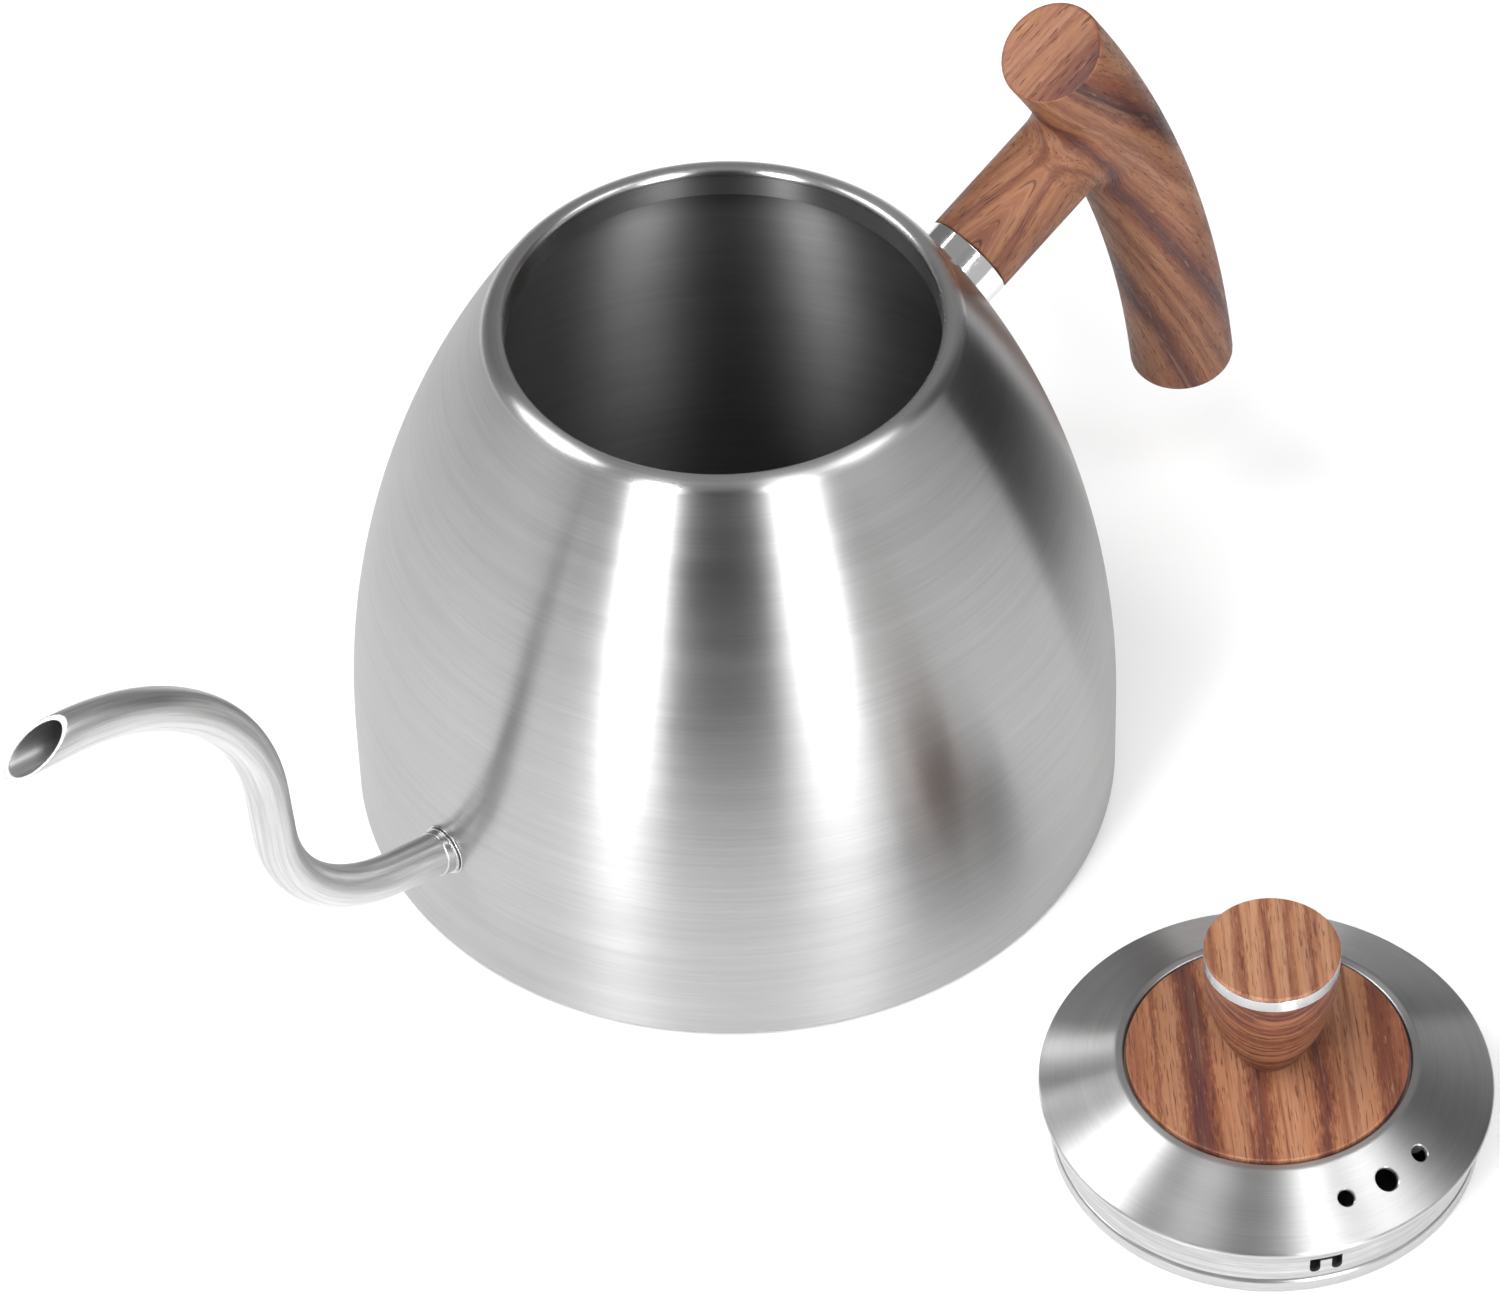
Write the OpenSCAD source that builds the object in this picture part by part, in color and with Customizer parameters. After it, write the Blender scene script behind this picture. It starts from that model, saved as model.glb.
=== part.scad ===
// Gooseneck pour-over kettle, with its lid set down beside it.
// Origin at the centre of the base, on the table. +Z is up, +X points to the handle,
// the spout points along -X, and the lid stands on the table on the -Y side.

/* [Body] */
// Height of the lip above the table
body_h = 118; // [114:1:122]
// Largest radius of the body, near its foot
belly_r = 74.7; // [73:0.1:76]
// Height at which the wall starts to lean in
belly_z = 17; // [14:0.5:20]
// Radius of the long arc that the wall follows
wall_arc_r = 183.2; // [180:0.2:190]
// Radius of the bottom corner
corner_r = 1.2; // [1:0.1:3]
// Thickness of the steel sheet
sheet_t = 0.8; // [0.6:0.1:1]
// Inner radius of the mouth
mouth_r = 41; // [40:0.5:42]
// Outer radius of the rolled lip's section
roll_r = 4; // [3.8:0.05:4.2]
// Depth of the collar inside the mouth
collar_depth = 6.2; // [4:0.1:8]

/* [Spout] */
// Outer radius of the spout tube
tube_r = 4.1; // [3.8:0.1:4.4]
// Wall thickness of the spout tube
tube_t = 0.7; // [0.5:0.1:0.9]
// Height at which the tube leaves the body
spout_z = 27.4; // [25:0.1:30]
// Rise angle of the tube where it leaves the body
root_angle = 13; // [8:1:18]
// Straight length of tube outside the body
root_len = 13; // [10:1:16]
// Radius of the lower bend
low_bend_r = 34.5; // [30:0.5:38]
// Rise angle of the upright stretch
upright_angle = 86; // [80:1:89]
// Length of the upright stretch
upright_len = 11; // [6:1:16]
// Radius of the upper bend
high_bend_r = 50.5; // [45:0.5:54]
// Rise angle of the tube at its tip
tip_angle = 7; // [5:1:14]
// Slope of the slanting cut at the tip, below horizontal
tip_cut_angle = 26; // [20:1:60]

/* [Handle] */
// Height on the wall where the neck's axis starts
neck_z = 91.8; // [88:0.1:95]
// Radius of the neck and its ferrule
neck_r = 9.1; // [8.5:0.1:9.6]
// Length of the ferrule along the neck's axis
ferrule_len = 5; // [4:0.5:6]
// Radius of the grip
grip_r = 10.4; // [9.5:0.05:11]
// Radius of the arc that the grip bows along
grip_arc_r = 255.5; // [250:0.5:262]
// Distance from the kettle's axis to the centre of that arc, on the spout side
grip_arc_x = 130.4; // [128:0.2:133]
// Height of the centre of that arc, below the table
grip_arc_drop = 5.4; // [3:0.1:8]
// Angle on the arc of the grip's upper end
grip_top_angle = 32.7; // [31:0.1:34]
// Angle on the arc of the grip's lower end
grip_low_angle = 7.8; // [5:0.1:10]

/* [Lid] */
// Place of the lid on the table, towards the handle
lid_x = 7; // [5:1:10]
// Distance of the lid's axis from the kettle's axis
lid_dist = 140; // [135:1:150]
// Radius of the lid's flange
flange_r = 42.6; // [42.3:0.1:43]
// Height of the flange's edge above the table
flange_z = 12.6; // [12:0.1:14]
// Outer radius of the plug that enters the mouth
plug_r = 40.2; // [39.8:0.1:40.4]
// Outer radius of the bead at the plug's foot
bead_r = 40.4; // [40.3:0.05:40.6]
// Height of that bead
bead_h = 3.3; // [2.8:0.1:3.6]
// Thickness of the lid's sheet
lid_t = 0.7; // [0.5:0.1:0.8]
// Radius of the inlay disc
inlay_r = 26.4; // [25:0.1:27]
// Height of the inlay's face above the table
inlay_z = 21.3; // [21:0.1:22]
// Radius at which the vent holes lie
vent_ring_r = 34.8; // [33:0.1:36]
// Radius of the middle vent hole
vent_r = 2.25; // [2.1:0.05:2.6]
// Radius of the two outer vent holes
small_vent_r = 1.6; // [1.4:0.05:1.8]

/* [Knob] */
// Height of the knob above the inlay
knob_h = 28.9; // [28:0.1:30]
// Largest radius of the knob
knob_r = 12.6; // [12:0.1:13]
// Height of the bright band
band_h = 2.7; // [2.4:0.1:3]
// Thickness of the cap above the band
cap_h = 0.9; // [0.7:0.1:1.2]
// Radius of the arc of the knob's side
knob_arc_r = 41.8; // [40:0.1:44]
// Radius of the knob's foot where it meets the inlay
knob_foot_r = 5; // [4.8:0.1:5.4]

/* [Hidden] */
$fn = 96;

// Clearance between pieces that are fitted or welded together
gap = 0.02;
// Overrun of a cutting solid past the face that it cuts
over = 1;

// Centre of the wall's arc, and the radius of the wall at a height
wall_arc_x = belly_r - wall_arc_r;
function wall_radius(z) = wall_arc_x + sqrt(pow(wall_arc_r, 2) - pow(z - belly_z, 2));

// The base: cap, heat spreader and pan, one above the other, inside the foot ring
foot_gap = 0.4;
foot_r = 68;
cap_t = 0.8;
spreader_t = 2.4;
pan_z = cap_t + spreader_t + 2 * gap;

// The rolled lip: an outer round that flows into the wall's arc, its crest, and a
// tighter inner round down into the collar
roll_z = body_h - roll_r;
crest_r = wall_arc_x + sqrt(pow(wall_arc_r - roll_r, 2) - pow(roll_z - belly_z, 2));
inner_roll_r = crest_r - mouth_r;
ring_z = body_h - 3.4;
collar_z = body_h - collar_depth;
roll_touch_z = belly_z + wall_arc_r * (roll_z - belly_z) / (wall_arc_r - roll_r);

// The spout's line in its own plane: [distance from the axis, height]
function step(p, a, len) = [p.x + len * cos(a), p.y + len * sin(a)];
spout_start = [wall_radius(spout_z), spout_z];
spout_p1 = step(spout_start, root_angle, root_len);
low_centre = step(spout_p1, root_angle + 90, low_bend_r);
spout_p2 = step(low_centre, upright_angle - 90, low_bend_r);
spout_p3 = step(spout_p2, upright_angle, upright_len);
high_centre = step(spout_p3, upright_angle - 90, high_bend_r);
spout_p4 = step(high_centre, tip_angle + 90, high_bend_r);
// Distance from the last bend to the middle of the slanting cut
tip_len = 4.4;
// Length of tube inside the body
root_inside = 2.5;
// Distances along the line at which its stretches end
mm_per_degree = PI / 180;
root_end = root_len;
low_bend_end = root_end + low_bend_r * (upright_angle - root_angle) * mm_per_degree;
upright_end = low_bend_end + upright_len;
high_bend_end = upright_end + high_bend_r * (upright_angle - tip_angle) * mm_per_degree;
tube_end = high_bend_end + tip_len;
// The line at distance s along it: [point, rise angle]
function spout_at(s) =
    s < root_end ? [step(spout_start, root_angle, s), root_angle]
    : s < low_bend_end ? let (a = root_angle + (s - root_end) / low_bend_r / mm_per_degree)
        [step(low_centre, a - 90, low_bend_r), a]
    : s < upright_end ? [step(spout_p2, upright_angle, s - low_bend_end), upright_angle]
    : s < high_bend_end ? let (a = upright_angle - (s - upright_end) / high_bend_r / mm_per_degree)
        [step(high_centre, a + 90, high_bend_r), a]
    : [step(spout_p4, tip_angle, s - high_bend_end), tip_angle];
// Rings along each bend, and sides round the tube
low_bend_rings = 11;
high_bend_rings = 13;
tube_sides = 20;
// Distances along the line at which the tube has its rings
ring_places = concat(
    [-root_inside],
    [for (i = [0 : low_bend_rings - 1])
        root_end + i * (low_bend_end - root_end) / (low_bend_rings - 1)],
    [for (i = [0 : high_bend_rings - 1])
        upright_end + i * (high_bend_end - upright_end) / (high_bend_rings - 1)],
    [tube_end]
);
// The rings lean more and more over this length, up to the slope of the cut
lean_len = 16;
cut_lean = 1 / tan(tip_angle + tip_cut_angle);
// A ring of points of radius r at distance s along the line
function tube_ring(s, r) =
    let (lean = cut_lean * max(0, 1 - (tube_end - s) / lean_len))
    [for (k = [0 : tube_sides - 1])
        let (t = k * 360 / tube_sides, up = r * cos(t), at = spout_at(s - up * lean))
        let (p = step(at[0], at[1] + 90, up))
        [p.x, r * sin(t), p.y]];

// The neck: its axis is square to the wall
neck_angle = asin((neck_z - belly_z) / wall_arc_r);
neck_x = wall_radius(neck_z);
bracket_t = 2;
washer_t = 1;
stud_r = 3;
stud_len = 22;
insert_r = 4.5;
insert_len = 15;
neck_len = 42;

// The lid: heights above the table
shoulder_r = inlay_r + 1.9;
recess_r = inlay_r + 0.5;
recess_z = inlay_z - 1.8;
shoulder_z = inlay_z - 0.5;
gasket_t = 0.3;
plate_z = bead_h + 0.6;
tongue_count = 3;
first_tongue_angle = -119;
vent_angles = [-110.4, -95.8, -81.2];
screw_r = 2;

// Heights of the knob's pieces above the inlay
band_z = knob_h - cap_h - band_h;
knob_arc_z = band_z - 1.2;
knob_side_r = knob_r - 0.1;

module place_lid() {
    translate([lid_x, -lid_dist, 0]) children();
}

module on_inlay() {
    place_lid() translate([0, 0, inlay_z + gap]) children();
}

// Local +Z runs outward along the neck's axis, from the wall
module along_neck() {
    translate([neck_x, 0, neck_z]) rotate([0, 90 - neck_angle, 0]) children();
}

module ring(r_out, r_in, h) {
    difference() {
        cylinder(r = r_out, h = h);
        translate([0, 0, -over]) cylinder(r = r_in, h = h + 2 * over);
    }
}

// Half section of the body's outside, set in by d
module body_outline(d) {
    intersection() {
        translate([wall_arc_x, belly_z]) circle(r = wall_arc_r - d, $fn = 360);
        translate([0, belly_z]) square([belly_r, body_h - belly_z]);
    }
    translate([0, foot_gap + corner_r]) square([belly_r - d, belly_z - foot_gap - corner_r]);
    translate([belly_r - corner_r, foot_gap + corner_r]) circle(r = corner_r - d);
    translate([0, foot_gap + d]) square([belly_r - corner_r, corner_r]);
}

// The solid that the body fills, for cutting other pieces to its surface
module body_solid(d) {
    rotate_extrude($fn = 180) body_outline(d);
}

// Half section of the rolled lip, set in by d
module roll_outline(d) {
    low_z = collar_z - over;
    translate([mouth_r + d, low_z]) square([inner_roll_r - d, body_h - inner_roll_r - low_z]);
    translate([crest_r, body_h - inner_roll_r]) circle(r = inner_roll_r - d);
    intersection() {
        union() {
            translate([crest_r, roll_z]) circle(r = roll_r - d);
            intersection() {
                body_outline(d);
                square([belly_r, roll_touch_z]);
            }
        }
        translate([crest_r - gap, low_z]) square([belly_r, body_h]);
    }
}

module body_shell() {
    color("silver") difference() {
        rotate_extrude($fn = 180) difference() {
            body_outline(0);
            body_outline(sheet_t);
            square([foot_r + gap, 2 * corner_r]);
            translate([0, ring_z - gap]) square([belly_r, body_h]);
        }
        mirror([1, 0, 0]) root_rod(tube_r + gap);
    }
}

module mouth_ring() {
    color("gainsboro") rotate_extrude($fn = 180) difference() {
        roll_outline(0);
        roll_outline(sheet_t);
        square([crest_r, collar_z]);
        translate([crest_r - gap, 0]) square([belly_r, ring_z]);
    }
}

module base_pan() {
    color("darkgray") intersection() {
        body_solid(sheet_t + gap);
        translate([0, 0, pan_z]) cylinder(r = belly_r, h = sheet_t);
    }
}

module heat_spreader() {
    color("lightgray") translate([0, 0, cap_t + gap]) cylinder(r = foot_r - sheet_t, h = spreader_t);
}

module base_cap() {
    color("gray") cylinder(r = foot_r, h = cap_t);
}

// A rod of radius r along the straight root of the spout, through the wall, pointing along +X
module root_rod(r) {
    start = step(spout_start, root_angle, -3 * root_inside);
    translate([start.x, 0, start.y]) rotate([0, 90 - root_angle, 0]) cylinder(r = r, h = root_len + 3 * root_inside);
}

// The bent tube: an outer and an inner skin through all stations, closed at both ends
module spout_tube() {
    rings = len(ring_places);
    outer = [for (s = ring_places) each tube_ring(s, tube_r)];
    inner = [for (s = ring_places) each tube_ring(s, tube_r - tube_t)];
    function at(skin, i, k) = (skin * rings + i) * tube_sides + k % tube_sides;
    color("silver") mirror([1, 0, 0]) polyhedron(concat(outer, inner), [
        for (k = [0 : tube_sides - 1]) each [
            for (i = [0 : rings - 2]) each [
                [at(0, i, k), at(0, i, k + 1), at(0, i + 1, k + 1), at(0, i + 1, k)],
                [at(1, i, k + 1), at(1, i, k), at(1, i + 1, k), at(1, i + 1, k + 1)]
            ],
            [at(0, 0, k + 1), at(0, 0, k), at(1, 0, k), at(1, 0, k + 1)],
            [at(0, rings - 1, k), at(0, rings - 1, k + 1), at(1, rings - 1, k + 1), at(1, rings - 1, k)]
        ]
    ]);
}

// A thin ring against the wall, and a sleeve from it to the tube
module spout_collar() {
    foot_ring_r = tube_r + 0.95;
    foot_ring_t = 0.7;
    sleeve_len = 2.4;
    wall_rise = asin((spout_z - belly_z) / wall_arc_r);
    color("gainsboro") mirror([1, 0, 0]) difference() {
        translate([spout_start.x, 0, spout_start.y]) {
            rotate([0, 90 - wall_rise, 0]) translate([0, 0, -over])
                cylinder(r = foot_ring_r, h = over + foot_ring_t);
            rotate([0, 90 - root_angle, 0])
                cylinder(r1 = tube_r + 0.6, r2 = tube_r + 0.25, h = foot_ring_t + sleeve_len);
        }
        root_rod(tube_r + gap);
        body_solid(-gap);
    }
}

module handle_bracket() {
    color("silver") difference() {
        along_neck() translate([0, 0, -2]) ring(neck_r - 2, stud_r + gap, 2 + bracket_t);
        body_solid(-gap);
    }
}

module handle_stud() {
    color("silver") difference() {
        along_neck() translate([0, 0, -1]) cylinder(r = stud_r, h = stud_len + 1);
        body_solid(-gap);
    }
}

module handle_washer() {
    color("gray") along_neck() translate([0, 0, bracket_t + gap]) ring(neck_r - 3, stud_r + 0.1, washer_t);
}

module handle_ferrule() {
    color("white") difference() {
        along_neck() translate([0, 0, -4]) ring(neck_r, neck_r - 1, 4 + ferrule_len);
        body_solid(-gap);
    }
}

module handle_spacer() {
    spacer_z = bracket_t + washer_t + 2 * gap;
    color("black") along_neck() translate([0, 0, spacer_z])
        ring(neck_r - 1 - gap, stud_r + 0.1, ferrule_len - spacer_z);
}

module handle_insert() {
    color("gold") along_neck() translate([0, 0, ferrule_len + gap]) ring(insert_r, stud_r + gap, insert_len);
}

module handle_grip() {
    color("peru") difference() {
        union() {
            along_neck() translate([0, 0, ferrule_len + gap]) cylinder(r = neck_r, h = neck_len - ferrule_len);
            translate([-grip_arc_x, 0, -grip_arc_drop]) rotate([90, 0, 0]) rotate([0, 0, grip_low_angle])
                rotate_extrude(angle = grip_top_angle - grip_low_angle, $fn = 180)
                translate([grip_arc_r, 0]) circle(r = grip_r);
        }
        along_neck() cylinder(r = insert_r + gap, h = ferrule_len + insert_len + gap);
        along_neck() cylinder(r = stud_r + 0.2, h = stud_len + over);
    }
}

module lid_cover() {
    edge_z = flange_z + 1.1;
    cone_angle = atan((shoulder_z - edge_z) / (flange_r - shoulder_r));
    color("silver") place_lid() difference() {
        rotate_extrude($fn = 180) polygon([
            [screw_r + 0.2, recess_z - lid_t], [recess_r + lid_t, recess_z - lid_t],
            [recess_r + lid_t, shoulder_z - 1.3], [shoulder_r, shoulder_z - 1.3],
            [flange_r - 1.4, edge_z - 0.6], [flange_r - 1.2, flange_z - 0.1],
            [flange_r - 0.3, flange_z - 0.1], [flange_r, flange_z + 0.4],
            [flange_r - 0.6, edge_z], [shoulder_r + 0.4, shoulder_z - 0.35],
            [shoulder_r - 0.3, shoulder_z], [recess_r + 0.3, shoulder_z],
            [recess_r, shoulder_z - 0.3], [recess_r, recess_z], [screw_r + 0.2, recess_z]
        ]);
        for (i = [0 : 2])
            rotate([0, 0, vent_angles[i]]) translate([vent_ring_r, 0, (edge_z + shoulder_z) / 2])
                rotate([0, cone_angle, 0])
                cylinder(r = i == 1 ? vent_r : small_vent_r, h = 8, center = true, $fn = 48);
    }
}

// The slot that frees a spring tongue: two round-ended legs joined across the top
module tongue_slot() {
    leg_r = 1;
    leg_z = 6.1;
    slot_top = 8.6;
    half_w = 2.1;
    translate([plug_r - 2, 0, 0]) rotate([90, 0, 90]) linear_extrude(4) {
        for (side = [-1, 1]) translate([side * half_w, leg_z]) {
            circle(r = leg_r, $fn = 32);
            translate([-leg_r, 0]) square([2 * leg_r, slot_top - leg_z]);
        }
        translate([-half_w, slot_top - 0.6]) square([2 * half_w, 0.6]);
    }
}

module lid_skirt() {
    rim_z = flange_z - 0.1 - gap - lid_t;
    color("silver") place_lid() difference() {
        union() {
            translate([0, 0, bead_h + gap]) cylinder(r = plug_r, h = rim_z + lid_t - bead_h - gap);
            translate([0, 0, rim_z]) cylinder(r = flange_r - 0.5, h = lid_t);
        }
        cylinder(r = plug_r - lid_t, h = 2 * flange_z);
        translate([0, 0, bead_h]) ring(plug_r + over, plug_r - 0.4, 0.5);
        for (i = [0 : tongue_count - 1])
            rotate([0, 0, first_tongue_angle + i * 360 / tongue_count]) tongue_slot();
    }
}

module lid_bead() {
    round_r = 0.9;
    inner_r = plug_r - lid_t - 1.2;
    color("gainsboro") place_lid() rotate_extrude($fn = 180) {
        translate([inner_r, 0]) square([bead_r - round_r - inner_r, bead_h]);
        translate([bead_r - round_r - gap, round_r]) square([round_r + gap, bead_h - 2 * round_r]);
        for (z = [round_r, bead_h - round_r]) translate([bead_r - round_r, z]) circle(r = round_r, $fn = 48);
    }
}

module lid_inner_plate() {
    steam_holes = 6;
    color("silver") place_lid() difference() {
        translate([0, 0, plate_z]) cylinder(r = plug_r - lid_t - gap, h = lid_t);
        for (i = [0 : steam_holes - 1])
            rotate([0, 0, i * 360 / steam_holes]) translate([0.7 * plug_r, 0, 0]) cylinder(r = 2.5, h = plate_z + 2);
        cylinder(r = 6.5, h = plate_z + 2);
    }
}

module inlay_disc() {
    color("peru") place_lid() difference() {
        translate([0, 0, recess_z + gasket_t + 2 * gap]) cylinder(r = inlay_r, h = inlay_z - recess_z - gasket_t - 2 * gap);
        cylinder(r = screw_r + 0.2, h = 2 * inlay_z);
    }
}

module inlay_gasket() {
    color("black") place_lid() translate([0, 0, recess_z + gap]) ring(inlay_r - 0.3, inlay_r - 3, gasket_t);
}

module knob_body() {
    foot_round = 1.6;
    side_x = knob_side_r - knob_arc_r;
    color("peru") on_inlay() difference() {
        rotate_extrude($fn = 96) {
            intersection() {
                translate([side_x, knob_arc_z]) circle(r = knob_arc_r, $fn = 180);
                translate([0, foot_round]) square([knob_r, knob_arc_z - foot_round]);
            }
            translate([0, knob_arc_z]) square([knob_side_r, band_z - knob_arc_z]);
            translate([0, band_z]) square([knob_r - 1.4, band_h]);
            square([knob_foot_r, foot_round]);
        }
        translate([0, 0, -over]) cylinder(r = screw_r + 0.2, h = 18);
        translate([0, 0, -over]) cylinder(r = 3.5 + gap, h = 10 + over);
    }
}

module knob_band() {
    color("white") on_inlay() translate([0, 0, band_z + gap]) ring(knob_r, knob_r - 1.4 + gap, band_h - 2 * gap);
}

module knob_cap() {
    color("peru") on_inlay() translate([0, 0, band_z + band_h]) cylinder(r = knob_r, h = cap_h);
}

module knob_washer() {
    color("gray") place_lid() translate([0, 0, recess_z - lid_t - gap - 0.8]) ring(5.5, screw_r + 0.1, 0.8);
}

module knob_screw() {
    head_z = recess_z - lid_t - 0.8 - 2 * gap;
    color("silver") place_lid() {
        translate([0, 0, head_z - 2.2]) difference() {
            cylinder(r = 3.6, h = 2.2);
            translate([-0.5, -5, -over]) cube([1, 10, 1 + over]);
            translate([-5, -0.5, -over]) cube([10, 1, 1 + over]);
        }
        translate([0, 0, head_z - 0.1]) cylinder(r = screw_r, h = inlay_z - head_z + 12);
    }
}

module knob_insert() {
    color("gold") on_inlay() ring(3.5, screw_r + gap, 10 - gap);
}

body_shell();
mouth_ring();
base_pan();
heat_spreader();
base_cap();
spout_tube();
spout_collar();
handle_bracket();
handle_stud();
handle_washer();
handle_ferrule();
handle_spacer();
handle_insert();
handle_grip();
lid_cover();
lid_skirt();
lid_bead();
lid_inner_plate();
inlay_disc();
inlay_gasket();
knob_body();
knob_band();
knob_cap();
knob_screw();
knob_washer();
knob_insert();
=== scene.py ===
"""Gooseneck kettle with its lid set down beside it: the looks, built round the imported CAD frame.

Lengths are written in millimetres and multiplied by MM where they meet Blender, which works in
metres. The materials' scales and depths are in metres throughout.
"""
from contextlib import contextmanager
from math import acos, asin, atan2, cos, degrees, hypot, pi, radians, sin, sqrt, tan

import bmesh
import bpy
import numpy as np
from mathutils import Matrix, Vector
from numpy.linalg import norm


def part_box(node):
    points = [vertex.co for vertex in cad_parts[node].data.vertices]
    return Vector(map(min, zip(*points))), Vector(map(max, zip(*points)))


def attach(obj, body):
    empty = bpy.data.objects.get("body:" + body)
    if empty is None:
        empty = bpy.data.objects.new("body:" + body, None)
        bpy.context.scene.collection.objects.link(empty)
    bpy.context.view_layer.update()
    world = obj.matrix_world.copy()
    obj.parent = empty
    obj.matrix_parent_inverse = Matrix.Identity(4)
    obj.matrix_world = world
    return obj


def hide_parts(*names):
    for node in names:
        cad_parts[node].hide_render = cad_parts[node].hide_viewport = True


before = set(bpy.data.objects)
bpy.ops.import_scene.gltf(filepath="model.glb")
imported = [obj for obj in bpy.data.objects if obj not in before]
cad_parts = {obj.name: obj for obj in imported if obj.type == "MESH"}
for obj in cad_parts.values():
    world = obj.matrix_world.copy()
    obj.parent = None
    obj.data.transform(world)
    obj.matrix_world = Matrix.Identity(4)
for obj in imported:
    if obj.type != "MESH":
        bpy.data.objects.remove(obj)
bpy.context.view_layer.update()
MM = 0.001

# ------------ places, from the frame


def node_box(node):
    """A CAD node's lowest and highest corners, in millimetres."""
    low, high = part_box(node)
    return np.array(low) / MM, np.array(high) / MM


lid_low, lid_high = node_box("lid_cover")
LID_AXIS = tuple((lid_low[:2] + lid_high[:2]) / 2)
KETTLE_AXIS = (0.0, 0.0)
INLAY_TOP = node_box("inlay_disc")[1][2]
FLANGE_R = (lid_high[0] - lid_low[0]) / 2
FLANGE_Z = lid_low[2]

# Body
BODY_H = node_box("mouth_ring")[1][2]
SHEET = 0.8
BELLY_R = 74.7
BELLY_Z = 17.0
WALL_ARC_R = 183.2
CORNER_R = 1.2
FOOT_GAP = 0.4
FOOT_R = 68.0
MOUTH_R = 41.0
ROLL_R = 4.0
RING_Z = BODY_H - 3.4
COLLAR_Z = BODY_H - 6.2
WALL_ARC_X = BELLY_R - WALL_ARC_R

# Spout
TUBE_R = 4.1
TUBE_T = 0.7
SPOUT_Z = 27.4
ROOT_ANGLE = 13.0
ROOT_LEN = 13.0
LOW_BEND_R = 34.5
UPRIGHT_ANGLE = 86.0
UPRIGHT_LEN = 11.0
HIGH_BEND_R = 50.5
TIP_ANGLE = 7.0
TIP_LEN = 4.4
TIP_CUT_ANGLE = 26.0
ROOT_INSIDE = 2.5

# Handle
NECK_Z = 91.8
NECK_R = 9.1
FERRULE_LEN = 5.0
# The grip starts this far past the ferrule
FERRULE_GAP = 0.06
NECK_LEN = 42.0
GRIP_R = 10.4
GRIP_ARC_R = 255.5
GRIP_CENTRE = (-130.4, -5.4)
GRIP_TOP = 32.7
GRIP_LOW = 7.8
HALF_BAR = radians(GRIP_TOP - GRIP_LOW) * GRIP_ARC_R / 2
# Where the end grain begins, from the bar's flat end
END_EDGE = 0.2

# Lid
INLAY_R = 26.4
SHOULDER_R = INLAY_R + 1.9
VENT_RING_R = 34.8
# Each hole by its direction from the lid's axis, in degrees, and its radius
VENTS = ((-110.4, 1.6), (-95.8, 2.25), (-81.2, 1.6))
LID_SHEET = 0.7
PLUG_R = 40.2
BEAD_R = 40.4
BEAD_H = 3.3

# Knob
KNOB_H = 28.9
KNOB_R = 12.6
BAND_H = 2.7
CAP_H = 0.9
KNOB_ARC_R = 41.8
KNOB_FOOT_R = 5.0

# Places closer than this are one place
TINY = 1e-6


def wall_radius(z):
    """Outer radius of the body at height z, where the wall leans in."""
    return WALL_ARC_X + sqrt(WALL_ARC_R**2 - (z - BELLY_Z) ** 2)


# ------------ profiles for turned pieces
# A profile runs counter-clockwise in the (radius, height) half plane: the solid lies on its left.
# It is a list of runs, and a run is a list of (radius, height, normal r, normal z). Normals agree
# inside a run and may differ between runs, which makes a sharp edge there.


def line(start, end, steps=1):
    """A straight run from start to end."""
    dr, dz = end[0] - start[0], end[1] - start[1]
    length = hypot(dr, dz)
    return [
        (start[0] + dr * k / steps, start[1] + dz * k / steps, dz / length, -dr / length)
        for k in range(steps + 1)
    ]


def arc(centre, radius, start, end, steps):
    """A round run from angle start to angle end, in degrees. Turning clockwise makes it hollow."""
    side = 1 if end > start else -1
    run = []
    for k in range(steps + 1):
        a = radians(start + (end - start) * k / steps)
        c, s = cos(a), sin(a)
        run.append((centre[0] + radius * c, centre[1] + radius * s, side * c, side * s))
    return run


def step(point, angle, length):
    """The place at this angle, in degrees, and distance from a point of a plane."""
    a = radians(angle)
    return (point[0] + length * cos(a), point[1] + length * sin(a))


def rounded(points, radius, steps=5):
    """Runs round a polygon of (r, z) points, with every corner rounded to radius, or to its own
    radius where the point has a third number. Points on the axis stay sharp."""
    count = len(points)
    cuts = []
    for i, point in enumerate(points):
        p = np.array(point[:2], float)
        r = point[2] if len(point) > 2 else radius
        a = np.array(points[i - 1][:2], float) - p
        b = np.array(points[(i + 1) % count][:2], float) - p
        a, b = a / norm(a), b / norm(b)
        half = acos(max(-1, min(1, float(a @ b)))) / 2
        straight = abs(half - pi / 2) < 1e-4
        if p[0] < TINY or r <= 0 or straight:
            cuts.append((p, p, None))
            continue
        back = r / tan(half)
        centre = p + (a + b) / norm(a + b) * r / sin(half)
        start, end = p + a * back, p + b * back
        t0 = degrees(atan2(*(start - centre)[::-1]))
        t1 = degrees(atan2(*(end - centre)[::-1]))
        turn = (t1 - t0 + 180) % 360 - 180
        cuts.append((start, end, arc(tuple(centre), r, t0, t0 + turn, steps)))
    runs = []
    for i, (_, start, corner) in enumerate(cuts):
        if corner:
            runs.append(corner)
        end = cuts[(i + 1) % count][0]
        on_axis = start[0] < TINY and end[0] < TINY
        if norm(end - start) > TINY and not on_axis:
            runs.append(line(tuple(start), tuple(end)))
    return runs


# ------------ meshes
# The corner normals of each turned piece, by its name
NORMALS = {}


def link(name, data):
    """A new object in the scene for a mesh, lamp or camera."""
    made = bpy.data.objects.new(name, data)
    bpy.context.scene.collection.objects.link(made)
    return made


def read(items, key, width=1, kind=float):
    """One property of a mesh's vertices, corners, edges or faces, as an array."""
    values = np.empty(len(items) * width, kind)
    items.foreach_get(key, values)
    return values.reshape(-1, width) if width > 1 else values


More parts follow.
